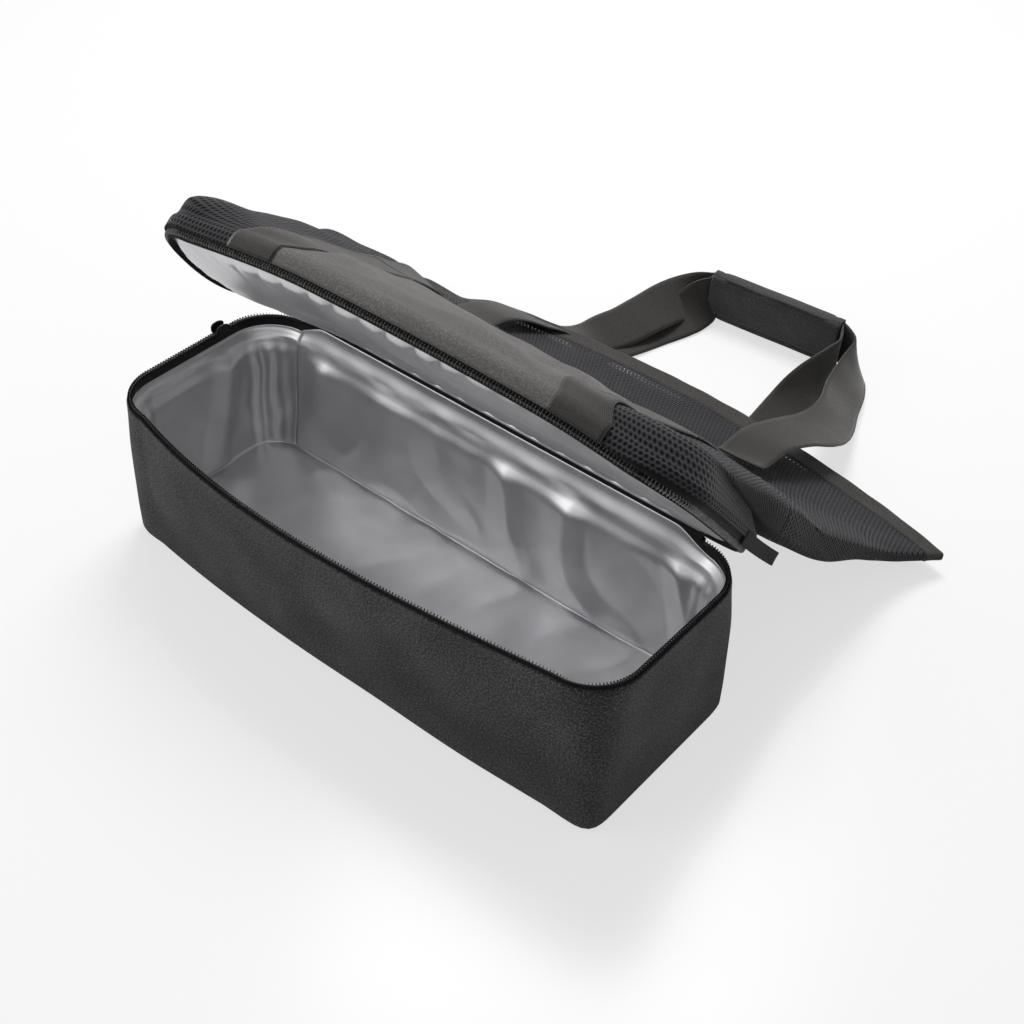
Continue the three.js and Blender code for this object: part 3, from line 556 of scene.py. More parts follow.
def spine_point(distance, z):
    """The middle line of the floor, which every column of a bottom or a floor runs out from."""
    x, y = outline(distance)[:2]
    reach = LENGTH / 2 - DEPTH / 2
    return Vector((max(-reach, min(reach, x)), 0, z))


# %% [markdown]
# ## The shell of the cooler
# One piece of heavy cloth makes the four walls and is turned under to the bottom. It is soft,
# so it waves a little between its stiff edges: the zip holds the rim straight and the board
# holds the foot. The waves come from smooth noise that fades out at both edges.

# %% The shell of the cooler
SHELL_TOP, SHELL_WALL, FOOT_TURN, FLOOR_GAP = 125.1, 1.1, 5.0, 0.2


def shell_wave(distance, z):
    """How far the cloth stands in from its outline, between rim and foot; it mostly bulges."""
    hold = smooth(z / 30) * smooth((SHELL_TOP - z) / 45)
    x, y = outline(distance)[:2]
    broad = 0.5 + 0.5 * ripple((x, y, z * 0.7), 62)
    fine = ripple((x + 300, y, z * 0.5), 24)
    return hold * (0.1 - 2.3 * broad + 0.4 * fine)


SQUARE_FOOT = {-1: {-1: 1.2, 1: 1.0}, 1: {-1: 4.0, 1: 2.2}}


def foot_spread(distance, z):
    """How far the foot stands out: its corners are squarer than the rim's, most of all in front."""
    x, y, nx, ny = outline(distance)
    fall = max(0.0, 1 - z / HEIGHT) ** 1.2
    power = 2 + SQUARE_FOOT[1 if x > 0 else -1][1 if y > 0 else -1] * fall
    corner = CORNER * (1 / (abs(nx) ** power + abs(ny) ** power) ** (1 / power) - 1)
    return corner + 3.6 * fall * smooth((x - 20) / 120) * smooth((nx - ny) * 4)


def shell_row(kind, value):
    def place(distance):
        if kind == "floor":
            edge = wall_point(distance, FOOT_TURN - foot_spread(distance, FLOOR_GAP), FLOOR_GAP)
            return spine_point(distance, FLOOR_GAP).lerp(edge, value)
        if kind == "turn":
            angle = math.radians(value)
            z = FLOOR_GAP + FOOT_TURN * (1 - math.cos(angle))
            return wall_point(distance, FOOT_TURN * (1 - math.sin(angle)) - foot_spread(distance, z), z)
        if kind == "wall":
            return wall_point(distance, shell_wave(distance, value) - foot_spread(distance, value), value)
        return wall_point(distance, *value)
    return place


shell_rows = [shell_row("floor", t) for t in (0, 0.35, 0.7, 0.93, 1)]
shell_rows += [shell_row("turn", a) for a in (20, 40, 60, 80)]
shell_rows += [shell_row("wall", z) for z in even(FOOT_TURN + 0.4, SHELL_TOP - 2.5, 3.6)]
shell_edge = ((-0.25, SHELL_TOP - 1.4), (0.1, SHELL_TOP - 0.3), (0.9, SHELL_TOP))
shell_rows += [shell_row("edge", corner) for corner in shell_edge]
shell = cloth("cooler_shell", ROUND, shell_rows, lambda s, row: row(s), shell_cloth, SHELL_WALL, closed=True)
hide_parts("base_shell")
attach(shell, "cooler")

# %% [markdown]
# ## Rows of stitches
# Sewn edges are what make a bag look made. A stitch is a short, fat piece of thread, so a
# small icosphere is stretched along the seam and one is set every few millimetres. Each has
# only twenty faces, because there are thousands of them.

# %% Rows of stitches
def repeat(name, template, places, material):
    """One mesh with a copy of the template at every matrix."""
    shape = bmesh.new()
    for place in places:
        first = len(shape.verts)
        shape.from_mesh(template)
        shape.verts.ensure_lookup_table()
        bmesh.ops.transform(shape, matrix=place, verts=shape.verts[first:])
    return finish_piece(name, shape, material)


def stitch_template(length=2.3, wide=0.6, high=0.5):
    shape = bmesh.new()
    bmesh.ops.create_icosphere(shape, subdivisions=1, radius=0.5 * MM)
    bmesh.ops.scale(shape, vec=(length, wide, high), verts=shape.verts)
    mesh = bpy.data.meshes.new("stitch")
    shape.to_mesh(mesh)
    shape.free()
    return mesh


STITCH = stitch_template()


def frame_at(point, along, out):
    """A matrix in metres whose X runs along and whose Z points out."""
    x = along.normalized()
    y = out.cross(x).normalized()
    z = x.cross(y)
    return Matrix.Translation(point * MM) @ Matrix((x, y, z)).transposed().to_4x4()


def stitch_line(path, out, pitch=3.2):
    """Matrices for stitches along a path; out(k) gives the cloth's outward direction there."""
    places, spare = [], pitch / 2
    for k, (a, b) in enumerate(zip(path, path[1:])):
        length = (b - a).length
        while spare < length:
            places.append(frame_at(a.lerp(b, spare / length), b - a, out(k)))
            spare += pitch
        spare -= length
    return places


def wall_path(distances, inset, z):
    return [wall_point(s, inset, z) for s in distances]


def wall_out(distances):
    def out(k):
        return Vector((*outline(distances[k])[2:], 0))
    return out


rim_stitches = repeat("shell_rim_stitches", STITCH,
                      stitch_line(wall_path(ROUND, 0.2, SHELL_TOP - 3.2), wall_out(ROUND)), thread_yarn)
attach(rim_stitches, "cooler")

# %% [markdown]
# ## Board and foam
# A stiff board keeps the bottom flat, and sheets of white foam hold the cold. They hide behind
# the foil, but the bag is a set of real layers, so each is its own sheet with soft edges.

# %% Board and foam
FOAM_INSET, FOAM_WALL, FOAM_FOOT, FOAM_TOP = 1.5, 5.0, 3.3, 110.8


def plate(name, inset, foot, thick, material):
    """A flat layer that fills the plan, made as a sheet from the middle line to the edge."""
    def place(distance, t):
        return spine_point(distance, foot + thick).lerp(wall_point(distance, inset, foot + thick), t)
    return cloth(name, ROUND, (0, 0.35, 0.7, 0.94, 1), place, material, thick, side=1.0, closed=True)


board = plate("floor_board", 2.2, 1.5, 1.45, board_sheet)
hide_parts("base_bottom")
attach(board, "cooler")

foam_floor = plate("foam_floor", FOAM_INSET + FOAM_WALL + 0.4, FOAM_FOOT, FOAM_WALL, foam_sheet)
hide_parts("base_foam_floor")
foam_pads = [foam_floor]
HALF = QUARTER / 2
foam_runs = {
    "left": (HALF + 0.2, LEFT_END + HALF - 0.2), "front": (LEFT_END + HALF + 0.2, FRONT_END + HALF - 0.2),
    "right": (FRONT_END + HALF + 0.2, RIGHT_END + HALF - 0.2),
    "back": (RIGHT_END + HALF + 0.2, PERIMETER + HALF - 0.2),
}
for side, (start, end) in foam_runs.items():
    pad = cloth("foam_" + side, even(start, end, 5), even(FOAM_FOOT, FOAM_TOP, 12),
                lambda s, z: wall_point(s, FOAM_INSET, z), foam_sheet, FOAM_WALL)
    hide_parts("base_foam_" + side)
    foam_pads.append(pad)
for pad in foam_pads:
    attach(pad, "cooler")

# %% [markdown]
# ## The foil liner
# The liner is a loose bag of metallised film. Film doesn't stretch, so it buckles: long soft
# folds run down the walls, sharp ones gather in the corners, and the floor creases where it
# meets them. Folding a noise about zero gives ridges that look like these creases.

# %% The foil liner
LINER_INSET, LINER_FOOT, LINER_TOP = 6.9, 8.8, 111.0
LINER_TURN, LINER_ZIP_TOP, LINER_HINGE_TOP = 6.0, 118.4, 130.1
FOIL_STEP = 2.6


def crease(point, scale):
    """0 on smooth ground and up to 1 along sharp lines, which wander like creases in film."""
    return max(0.0, 1 - 3.2 * abs(ripple(point, scale)))


def liner_depth(distance, z):
    """How far the film stands in from the foam."""
    x, y = outline(distance)[:2]
    corner = min(abs(((distance - c + PERIMETER / 2) % PERIMETER) - PERIMETER / 2)
                 for c in (HALF, LEFT_END + HALF, FRONT_END + HALF, RIGHT_END + HALF))
    bunch = smooth(1 - corner / 45)
    hold = smooth((LINER_TOP - z) / 14)
    long_fold = 0.5 + 0.5 * ripple((x, y, z * 0.5), 58)
    sharp = crease((x + 40, y, z * 0.55 + 80), 85)
    small = crease((x - 70, y, z * 0.8), 38)
    gathers = 0.5 + 0.5 * math.sin(distance * 0.42 + 2.0 * ripple((distance, z, 0), 35))
    depth = 0.3 + 6.0 * long_fold + 4.2 * sharp + 0.8 * small + bunch * 2.2 * gathers
    return hold * depth + 0.5 * (1 - hold)


def liner_floor(distance, t):
    edge = wall_point(distance, LINER_INSET + LINER_TURN, LINER_FOOT)
    point = spine_point(distance, LINER_FOOT).lerp(edge, t)
    swell = 0.5 + 0.5 * ripple((point.x, point.y, 9), 34)
    rise = 0.3 + 0.9 * crease((point.x, point.y, 0), 52) + 0.8 * swell
    return point + Vector((0, 0, rise * (1 - 0.7 * smooth(1 - t))))


def liner_turn(distance, angle):
    a = math.radians(angle)
    fold = liner_depth(distance, LINER_FOOT + LINER_TURN) * smooth(angle / 90)
    inset = LINER_INSET + LINER_TURN * (1 - math.sin(a)) + fold
    rise = (1 - angle / 90) * (liner_floor(distance, 1).z - LINER_FOOT)
    return wall_point(distance, inset, LINER_FOOT + LINER_TURN * (1 - math.cos(a)) + rise)


def back_share(distance):
    """1 along the hinge and 0 along the zip."""
    return smooth((distance - BACK_START) / 6) * smooth((PERIMETER - distance) / 6)


def liner_edge(distance, t):
    """Above the foam the film leans out to the tape, and at the back it goes on up to the hinge."""
    back = smooth((distance - BACK_START + 8) / 34) * smooth((PERIMETER + 8 - distance) / 34)
    fold = 1.2 * (1 - t) * ripple((distance, t * 20, 5), 30)
    return wall_point(distance, lerp(7.0 + fold, lerp(2.8, 2.0, back), smooth(t * 1.25)),
                      lerp(LINER_TOP, lerp(LINER_ZIP_TOP, LINER_HINGE_TOP, back), t))


liner_rows = [lambda s, t=t: liner_floor(s, t) for t in even(0, 1, 0.055)]
liner_rows += [lambda s, a=a: liner_turn(s, a) for a in (18, 36, 54, 72)]
liner_rows += [lambda s, z=z: wall_point(s, LINER_INSET + liner_depth(s, z), z)
               for z in even(LINER_FOOT + LINER_TURN, LINER_TOP, 3.0)]
liner_rows += [lambda s, t=t: liner_edge(s, t) for t in (0.1, 0.2, 0.32, 0.45, 0.6, 0.75, 0.88, 1)]
liner = cloth("foil_liner", round_stops(FOIL_STEP), liner_rows, lambda s, row: row(s), foil_film, 0.3,
              side=1.0, closed=True)
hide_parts("base_liner")
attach(liner, "cooler")

# %% [markdown]
# ## The zip on the cooler's rim
# A woven tape stands up inside the rim, and a nylon coil is sewn along its top. The coil is
# a row of loops: one ring is spun from a small circle, and a copy is set every two and a half
# millimetres round the rim. Each ring is squeezed a little, because the wire is wound flat.

# %% The zip on the cooler's rim
TAPE_INSET, TAPE_FOOT = 1.5, 111.1
COIL_INSET, COIL_SIZE, COIL_FOOT = 0.6, 4.0, 125.4
TOOTH_PITCH = 2.5


def tooth_template(tall=0.95):
    shape = bmesh.new()
    made = bmesh.ops.create_circle(shape, segments=6, radius=0.6)
    bmesh.ops.rotate(shape, verts=made["verts"], matrix=Matrix.Rotation(math.pi / 2, 3, "X"), cent=(0, 0, 0))
    bmesh.ops.translate(shape, verts=made["verts"], vec=(1.4, 0, 0))
    bmesh.ops.spin(shape, geom=shape.verts[:] + shape.edges[:], axis=(0, 1, 0), cent=(0, 0, 0),
                   dvec=(0, 0, 0), angle=2 * math.pi, steps=9, use_merge=True)
    bmesh.ops.scale(shape, vec=(1.0, 1.1, tall), verts=shape.verts)
    bmesh.ops.recalc_face_normals(shape, faces=shape.faces)
    bmesh.ops.scale(shape, vec=(MM, MM, MM), verts=shape.verts)
    mesh = bpy.data.meshes.new("tooth")
    shape.to_mesh(mesh)
    shape.free()
    return mesh


TOOTH = tooth_template()


def coil_places(point, pitch=TOOTH_PITCH):
    """A matrix for every loop of a coil; point(s, inset, up) is a point of the coil's section."""
    places = []
    for s in even(0, BACK_START, pitch):
        middle = point(s, COIL_INSET + COIL_SIZE / 2, COIL_SIZE / 2)
        along = (point(s + 0.5, COIL_INSET, 0) - point(s - 0.5, COIL_INSET, 0)).normalized()
        inward = (point(s, COIL_INSET + 1, 0) - point(s, COIL_INSET, 0)).normalized()
        up = inward.cross(along)
        lean = (along + 0.2 * inward).normalized()
        side = lean.cross(up).normalized()
        places.append(Matrix.Translation(middle * MM) @ Matrix((side, lean, up)).transposed().to_4x4())
    return places


def tape_place(distance, row):
    """Up to the coil in front and at the sides, and on up to the hinge cord at the back."""
    inset, share = row
    back = back_share(distance)
    return wall_point(distance, inset - 0.9 * back * share, lerp(TAPE_FOOT, 127.2 + 2.1 * back, share))


tape_rows = [(TAPE_INSET + 0.5, 0), (TAPE_INSET, 0.07), (TAPE_INSET, 0.35), (TAPE_INSET + 0.3, 0.6),
             (TAPE_INSET + 0.1, 0.8), (TAPE_INSET, 1)]
zip_tape = cloth("cooler_zip_tape", ROUND, tape_rows, tape_place, tape_cloth, 0.8, closed=True)
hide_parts("base_zip_tape")


def rim_coil_point(distance, inset, up):
    return wall_point(distance, inset, COIL_FOOT + up)


coil = repeat("cooler_zip_coil", TOOTH, coil_places(rim_coil_point), coil_nylon)
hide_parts("base_zip_coil")


def zip_cord(name, point):
    """The cord that the coil is wound round, with the edge of the tape folded over it."""
    ring = [(COIL_INSET + 2 + 0.8 * math.cos(a), 1.3 + 0.8 * math.sin(a)) for a in even(0, 2 * math.pi, 0.8)]
    return cloth(name, ring, even(0, BACK_START, 5), lambda v, s: point(s, *v), thread_yarn, flip=True)


cord = zip_cord("cooler_coil_cord", rim_coil_point)
for piece, slot in ((zip_tape, "tape"), (coil, "zip_coil"), (cord, "tape")):
    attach(piece, "cooler")

# %% [markdown]
# ## The hinge
# The back of the lid is sewn to the back of the shell through a thin piping cord, which is
# the hinge line. A strip of tape covers the seam outside, and a second one is on the lid.

# %% The hinge
HINGE_Y = DEPTH / 2
LID_FOOT, LID_TOP = 134.9, 144.9
HINGE_RUN = even(BACK_START + 1, PERIMETER - 1, 4)
CORD_RADIUS, CORD_REACH = 2.1, 188


def round_section(radius, count=10):
    return [(radius * math.cos(a), radius * math.sin(a)) for a in even(0, 2 * math.pi, 2 * math.pi / count)]


piping = cloth("hinge_cord", round_section(CORD_RADIUS), even(-CORD_REACH, CORD_REACH, 3),
               lambda v, x: Vector((x, HINGE_Y + v[0], HEIGHT + v[1])), tape_cloth, flip=True)
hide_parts("hinge_piping")
HINGE_TAPE_ROWS = (112.4, 113, 116, 120, 124, 127.6, 128.1)
hinge_tape = cloth("hinge_tape", HINGE_RUN, HINGE_TAPE_ROWS,
                   lambda s, z: wall_point(s, -1.0 if z in (112.4, 128.1) else -1.5, z), tape_cloth, 1.1)
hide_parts("hinge_strip")
hinge_stitches = repeat("hinge_stitches", STITCH,
                        stitch_line(wall_path(HINGE_RUN, -1.6, 114.6), wall_out(HINGE_RUN)), thread_yarn)
for piece in (piping, hinge_tape, hinge_stitches):
    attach(piece, "cooler")

# %% [markdown]
# ## The slider
# The slider is a small casting that straddles both rows of the zip: two rounded plates, a
# bridge between them and a pull that hangs from two lugs. Each plate is a circle pulled to a
# rounded outline and extruded, and its edges are bevelled, because a real casting has no sharp
# edge. The pull is a tongue made between two circles, so it has a hole near its end.

# %% The slider
def rounded_block(shape, low, high, bevel):
    """A cube between two corners, with its edges rounded, added to a bmesh in millimetres."""
    first = set(shape.verts)
    bmesh.ops.create_cube(shape, size=1)
    fresh = [v for v in shape.verts if v not in first]
    size = [b - a for a, b in zip(low, high)]
    middle = [(a + b) / 2 for a, b in zip(low, high)]
    bmesh.ops.scale(shape, vec=size, verts=fresh)
    bmesh.ops.translate(shape, vec=middle, verts=fresh)
    edges = [e for e in shape.edges if all(v in fresh for v in e.verts)]
    bmesh.ops.bevel(shape, geom=edges, offset=bevel, offset_type="OFFSET", segments=2,
                    profile=0.5, affect="EDGES", material=-1)


def metal_piece(name, shape):
    bmesh.ops.scale(shape, vec=(MM, MM, MM), verts=shape.verts)
    return finish_piece(name, shape, black_metal)


SLIDE_Y, SLIDER_MIDDLE = 30.0, 129.95
OUTER_PLATE, INNER_PLATE = (-231.7, -230.5), (-225.0, -223.8)


def slider_plate(shape, x_low, x_high):
    """One side of the slider: a rounded outline with a narrower nose, thickened and softened."""
    ring = bmesh.ops.create_circle(shape, segments=36, radius=1, cap_ends=True)["verts"]
    for v in ring:
        y, z = (math.copysign(abs(c) ** 0.7, c) for c in v.co.xy)
        v.co = (x_low, SLIDE_Y + 6.4 * y, SLIDER_MIDDLE + 4.5 * z * (1 - 0.3 * max(0.0, y)))
    made = bmesh.ops.extrude_face_region(shape, geom=[ring[0].link_faces[0]])["geom"]
    far = [v for v in made if isinstance(v, bmesh.types.BMVert)]
    bmesh.ops.translate(shape, vec=(x_high - x_low, 0, 0), verts=far)
    rims = [e for verts in (ring, far) for v in verts for e in v.link_edges if e.other_vert(v) in verts]
    bmesh.ops.bevel(shape, geom=list(set(rims)), offset=0.4, offset_type="OFFSET", segments=3, profile=0.5,
                    affect="EDGES", material=-1)
    bmesh.ops.recalc_face_normals(shape, faces=shape.faces)


shape = bmesh.new()
for plate_sides in (OUTER_PLATE, INNER_PLATE):
    slider_plate(shape, *plate_sides)
rounded_block(shape, (-230.9, SLIDE_Y - 1.6, 129.72), (-224.4, SLIDE_Y + 1.6, 130.28), 0.15)
for lug in (-3.2, 2.2):
    rounded_block(shape, (-233.0, SLIDE_Y + lug, 130.2), (-231.5, SLIDE_Y + lug + 1.0, 131.4), 0.3)
slider = metal_piece("slider_body", shape)
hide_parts("zip_slider")
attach(slider, "slider")


PULL_HALF, PULL_HOLE, PULL_REACH = 4, 2.2, 26.0


def pull_plate():
    """A tongue with a round end and a hole, made by bridging two circles and thickening them."""
    shape = bmesh.new()
    outer = bmesh.ops.create_circle(shape, segments=32, radius=PULL_HALF)["verts"]
    inner = bmesh.ops.create_circle(shape, segments=32, radius=PULL_HOLE)["verts"]
    rim = [v for v in outer if v.co.y > 0.1]
    for v in rim:
        far = PULL_REACH if abs(v.co.x) < 3.6 else PULL_REACH / 2
        v.co = (max(-1, min(1, v.co.x / 3.2)) * PULL_HALF, far, 0)
    edges = list({e for v in outer + inner for e in v.link_edges})
    bmesh.ops.bridge_loops(shape, edges=edges)
    bmesh.ops.recalc_face_normals(shape, faces=shape.faces)
    bmesh.ops.solidify(shape, geom=shape.faces[:], thickness=1.3)
    sharp = [e for e in shape.edges if len(e.link_faces) == 2 and e.calc_face_angle(0) > 1.2]
    bmesh.ops.bevel(shape, geom=sharp, offset=0.3, offset_type="OFFSET", segments=2, profile=0.5,
                    affect="EDGES", material=-1)
    turn = Matrix(((0, 0, 1, 0), (1, 0, 0, 0), (0, 1, 0, 0), (0, 0, 0, 1)))
    bmesh.ops.transform(shape, matrix=turn, verts=shape.verts)
    low = min(v.co.x for v in shape.verts)
    bmesh.ops.translate(shape, vec=(-233.4 - low, SLIDE_Y, 129.4 - PULL_REACH), verts=shape.verts)
    bmesh.ops.recalc_face_normals(shape, faces=shape.faces)
    return metal_piece("pull_tongue", shape)


pull = pull_plate()
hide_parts("zip_pull")
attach(pull, "pull")

# %% [markdown]
# ## The lid's shape
# The lid is drawn shut, lying over the box, and every point is then turned open about the
# hinge line. It isn't a flat board: soft foam and cloth let its left end droop, while the
# middle of its front edge is held up by the tote. The same bend is used for all its layers.
# It stays when the lid is shut, and the left end then sinks about 15 mm into the box.

# %% The lid's shape
LID_OPEN_TURN = Matrix.Rotation(-LID_OPEN, 4, "X")
HINGE = Vector((0, HINGE_Y, HEIGHT))


def opened(point):
    """Bends a point of the shut lid, and turns it open."""
    x, y, z = point
    reach = max(0.0, (HINGE_Y - y) / DEPTH)
    lift = 3.5 * reach ** 1.5 * max(0.0, 1 - (x / 190) ** 2)
    right = 4 * smooth((x - 120) / 110) * reach
    left = smooth((-x - 70) / 150) * (13 * math.sin(math.pi * min(1.0, reach)) + 6 * reach)
    bent = Vector((x + 0.45 * left - 0.2 * right, y, z + lift - right - left))
    return LID_OPEN_TURN @ (bent - HINGE) + HINGE


def lid_flat(distance, inset, z):
    x, y, nx, ny = outline(distance)
    return Vector((x - nx * inset, y - ny * inset - LID_BOW * bow_share(x, y), z))


def lid_point(distance, inset, z):
    return opened(lid_flat(distance, inset, z))


def lid_plate(name, inset, z, thick, material, shift=lambda p, edge: 0.0, rows=even(0, 1, 0.05)):
    """A layer of the lid, from its middle line to its edge; shift moves a point up or down."""
    def place(distance, t):
        rim = lid_flat(distance, inset, z)
        point = spine_point(distance, z).lerp(rim, t)
        point.z += shift(point, (rim - point).length)
        return opened(point)
    return cloth(name, round_stops(4.0), rows, place, material, thick, side=1.0, closed=True)


# %% [markdown]
# ### The layers of the lid
# Inside is foil again. It is sewn in beside the zip, and each stitch hole pulls the film, so
# a dimple shows every couple of centimetres along the edge. Above lie foam and a top cloth.

# %% The layers of the lid
LID_INSET = 2.7


def pucker(distance):
    """0 to 1, peaking at uneven steps of about 23 mm along the edge."""
    wander = distance + 5 * ripple((distance, 0, 0), 40)
    wave = 0.5 + 0.5 * math.cos(2 * math.pi * wander / 23)
    return wave ** 4 * (0.6 + 0.5 * ripple((distance, 7, 0), 30))


def lid_foil_place(distance, t):
    if t > 1:
        back = back_share(distance)
        return opened(lid_flat(distance, lerp(LID_INSET, lerp(2.2, 2.5, back), t - 1),
                               lerp(LID_FOOT + 0.2, lerp(134.4, 130.9, back), t - 1)))
    rim = lid_flat(distance, LID_INSET, LID_FOOT + 0.2)
    point = spine_point(distance, LID_FOOT + 0.2).lerp(rim, t)
    edge = (rim - point).length
    belly = smooth((150 - point.x) / 120) * smooth((point.x + 195) / 90) * smooth(-point.y / 40 + 0.3)
    hang = 4.5 + 4.5 * belly
    pinch = (0.3 + 0.55 * smooth((point.x + 170) / 60)) * pucker(distance) * math.exp(-(edge / 19) ** 2)
    slack = 1.0 * ripple((point.x, point.y, 3), 60) + 0.8 * crease((point.x * 0.6, point.y, 20), 48)
    point.z -= smooth(edge / 14) * (hang - slack) * (1 - pinch)
    return opened(point)


foil_rows = even(0, 0.7, 0.06) + even(0.73, 1, 0.016) + [1.4, 2]
lid_foil = cloth("lid_foil", round_stops(FOIL_STEP), foil_rows, lid_foil_place, foil_film, 0.25, side=1.0,
                 closed=True, flip=True)
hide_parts("lid_liner")
lid_pad = lid_plate("lid_pad", LID_INSET + 0.5, LID_FOOT + 7, 0, foam_sheet, rows=even(0, 1, 0.1))
pad_wall = lid_pad.modifiers.new("wall", "SOLIDIFY")
pad_wall.thickness = 2.4 * MM
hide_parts("lid_foam")
lid_top = lid_plate("lid_top_cloth", LID_INSET, LID_FOOT + 8.4, 0.9, shell_cloth,
                    lambda p, edge: 0.8 * smooth(edge / 20) * ripple((p.x, p.y, 0), 60))
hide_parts("lid_top_panel")
for piece in (lid_foil, lid_pad, lid_top):
    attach(piece, "lid")

# %% [markdown]
# ### The zip on the lid's edge
# The lid carries the other row of the zip, on a tape that a thick black binding wraps. The
# binding's lower edge is a soft roll, which shows as a dark rim round the foil.

# %% The zip on the lid's edge
LID_COIL_FOOT, LID_TOOTH_PITCH, TOOTH_FORWARD = 130.6, 2.6, 0.7


def lid_tooth_point(distance, inset, up):
    return lid_point(distance, inset - TOOTH_FORWARD, LID_COIL_FOOT + COIL_SIZE - up)


# The teeth take the pale nylon finish, a painted highlight on black nylon.
lid_coil = repeat("lid_zip_teeth", tooth_template(1.3), coil_places(lid_tooth_point, LID_TOOTH_PITCH),
                  painted_highlight_nylon)
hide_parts("lid_zip_coil")
lid_cord = zip_cord("lid_coil_cord", lambda s, i, up: lid_point(s, i, LID_COIL_FOOT + up))
LID_TAPE = [(4.7, 129.7), (4.4, 130.4), (4.3, 132.8), (3.4, 134.2), (2.3, 135.0), (2.3, 140), (2.3, 144.5)]
HINGE_TAPE = [(2.0, 130.8), (1.5, 131.4), (1.5, 132.4), (1.5, 133.6), (1.5, 135.0), (1.5, 140), (1.5, 144.5)]


def lid_tape_place(distance, k):
    """Behind the coil along the zip, so its loops stand out, and down to the hinge at the back."""
    back = back_share(distance)
    return lid_point(distance, *(lerp(a, b, back) for a, b in zip(LID_TAPE[k], HINGE_TAPE[k])))


lid_tape = cloth("lid_tape", ROUND, range(len(LID_TAPE)), lid_tape_place, tape_cloth, 0.7, side=1.0,
                 closed=True)
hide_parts("lid_zip_tape")
binding_rows = [(1.2, 134.9), (0.4, 134.7), (-0.1, 135.2), (-0.2, 136.2), (-0.1, 138), (-0.1, 141),
                (0, 144.6)]
binding = cloth("lid_binding_band", ROUND, binding_rows, lambda s, v: lid_point(s, *v), tape_cloth, 1.1,
                closed=True)
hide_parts("lid_binding")
lid_flap = cloth("hinge_flap", HINGE_RUN, (131.9, 132.4, 133.4, 134.4), lambda s, z: lid_point(s, 0.1, z),
                 tape_cloth, 1.0)
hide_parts("lid_hinge_flap")
for piece in (lid_coil, lid_cord, lid_tape, binding, lid_flap):
    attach(piece, "lid")

# %% [markdown]
# ## The tote's cloth
# The tote is a loft: nine cross-sections between the lid's rim and the mouth, with a smooth
# thread run through them at every distance round the bag. A share from 0 to 1 goes up the
# thread, and a lift moves out from the cloth, for straps and panels that lie on it.

# %% The tote's cloth
STATIONS = [
    ((7, 264), (103, 140), (-19, 50, 205), (-11, 52, 209), 1),
    ((34, 242), (118, 124), (-17, 76, 192), (-8, 74, 186), 0.95),
    ((81, 204), (140, 101), (-11, 108, 172), (-4, 104, 156), 0.9),
    ((127, 167), (172, 72), (-1, 148, 151), (0, 146, 116), 0.85),
    ((172, 122), (208, 45), (12, 190, 116), (4, 184, 78), 0.8),
    ((219, 72), (246, 23), (25, 230, 71), (12, 224, 52), 0.7),
    ((269, 46), (284, 9), (37, 268, 36), (21, 257, 30), 0.55),
    ((319, 27), (320, 4), (49, 304, 15), (37, 290, 16), 0.4),
    ((344, 20), (342, 3), (52, 320, 11), (47, 304, 13), 0.3),
]
END_POWER, MESH_WALL, RIM_GAP = 1.9, 1.6, 0.9
HEM_START = 8 / 9
CREASE_Y = 115.0


def station_point(station, distance):
    front, back, left, right, end_size = station
    x, y = outline(distance)[:2]
    across, deep = x / (LENGTH / 2), -y / (DEPTH / 2)
    share = abs(across) ** END_POWER
    end = left if across < 0 else right
    half = lerp(1, end_size, share) * deep / 2
    place = [lerp((front[k] + back[k]) / 2, end[k + 1], share) + half * (front[k] - back[k]) for k in (0, 1)]
    return Vector((lerp(-LENGTH / 2 - left[0], LENGTH / 2 + right[0], (across + 1) / 2), *place))


def curve_pieces(points):
    """The cubic pieces of a centripetal curve through the points."""
    ends = [2 * points[0] - points[1], *points, 2 * points[-1] - points[-2]]
    pieces = []
    for p0, p1, p2, p3 in zip(ends, ends[1:], ends[2:], ends[3:]):
        d0, d1, d2 = ((b - a).length ** 0.5 or 1e-3 for a, b in ((p0, p1), (p1, p2), (p2, p3)))
        t1 = ((p1 - p0) / d0 - (p2 - p0) / (d0 + d1) + (p2 - p1) / d1) * d1
        t2 = ((p2 - p1) / d1 - (p3 - p1) / (d1 + d2) + (p3 - p2) / d2) * d1
        pieces.append((p1, t1, -3 * p1 + 3 * p2 - 2 * t1 - t2, 2 * p1 - 2 * p2 + t1 + t2))
    return pieces


def curve_at(pieces, share):
    at = max(0.0, min(1.0, share)) * len(pieces)
    k = min(int(at), len(pieces) - 1)
    w = at - k
    a, b, c, d = pieces[k]
    return a + (b + (c + d * w) * w) * w


THREADS = {}


def tote_thread(distance):
    key = round(distance % PERIMETER, 2)
    if key not in THREADS:
        rim = lid_point(distance, MESH_WALL / 2, LID_TOP + RIM_GAP)
        THREADS[key] = curve_pieces([rim] + [station_point(station, distance) for station in STATIONS])
    return THREADS[key]


def tote_wave(distance, share):
    """Soft slack in the cloth, shared by every layer that lies on it."""
    x, y = outline(distance)[:2]
    hold = smooth(share / 0.1) * smooth((1 - share) / 0.2)
    return hold * (1.5 * ripple((x, y, share * 300), 46) + 0.7 * ripple((x * 1.4, y + 90, share * 500), 30))


SAGS = [(-216, 128, 35, 25, -10), (-168, 170, 30, 22, 8), (-60, 165, 42, 30, 6), (-236, 328, 24, 30, -9),
        (-212, -4, 24, 24, 9)]


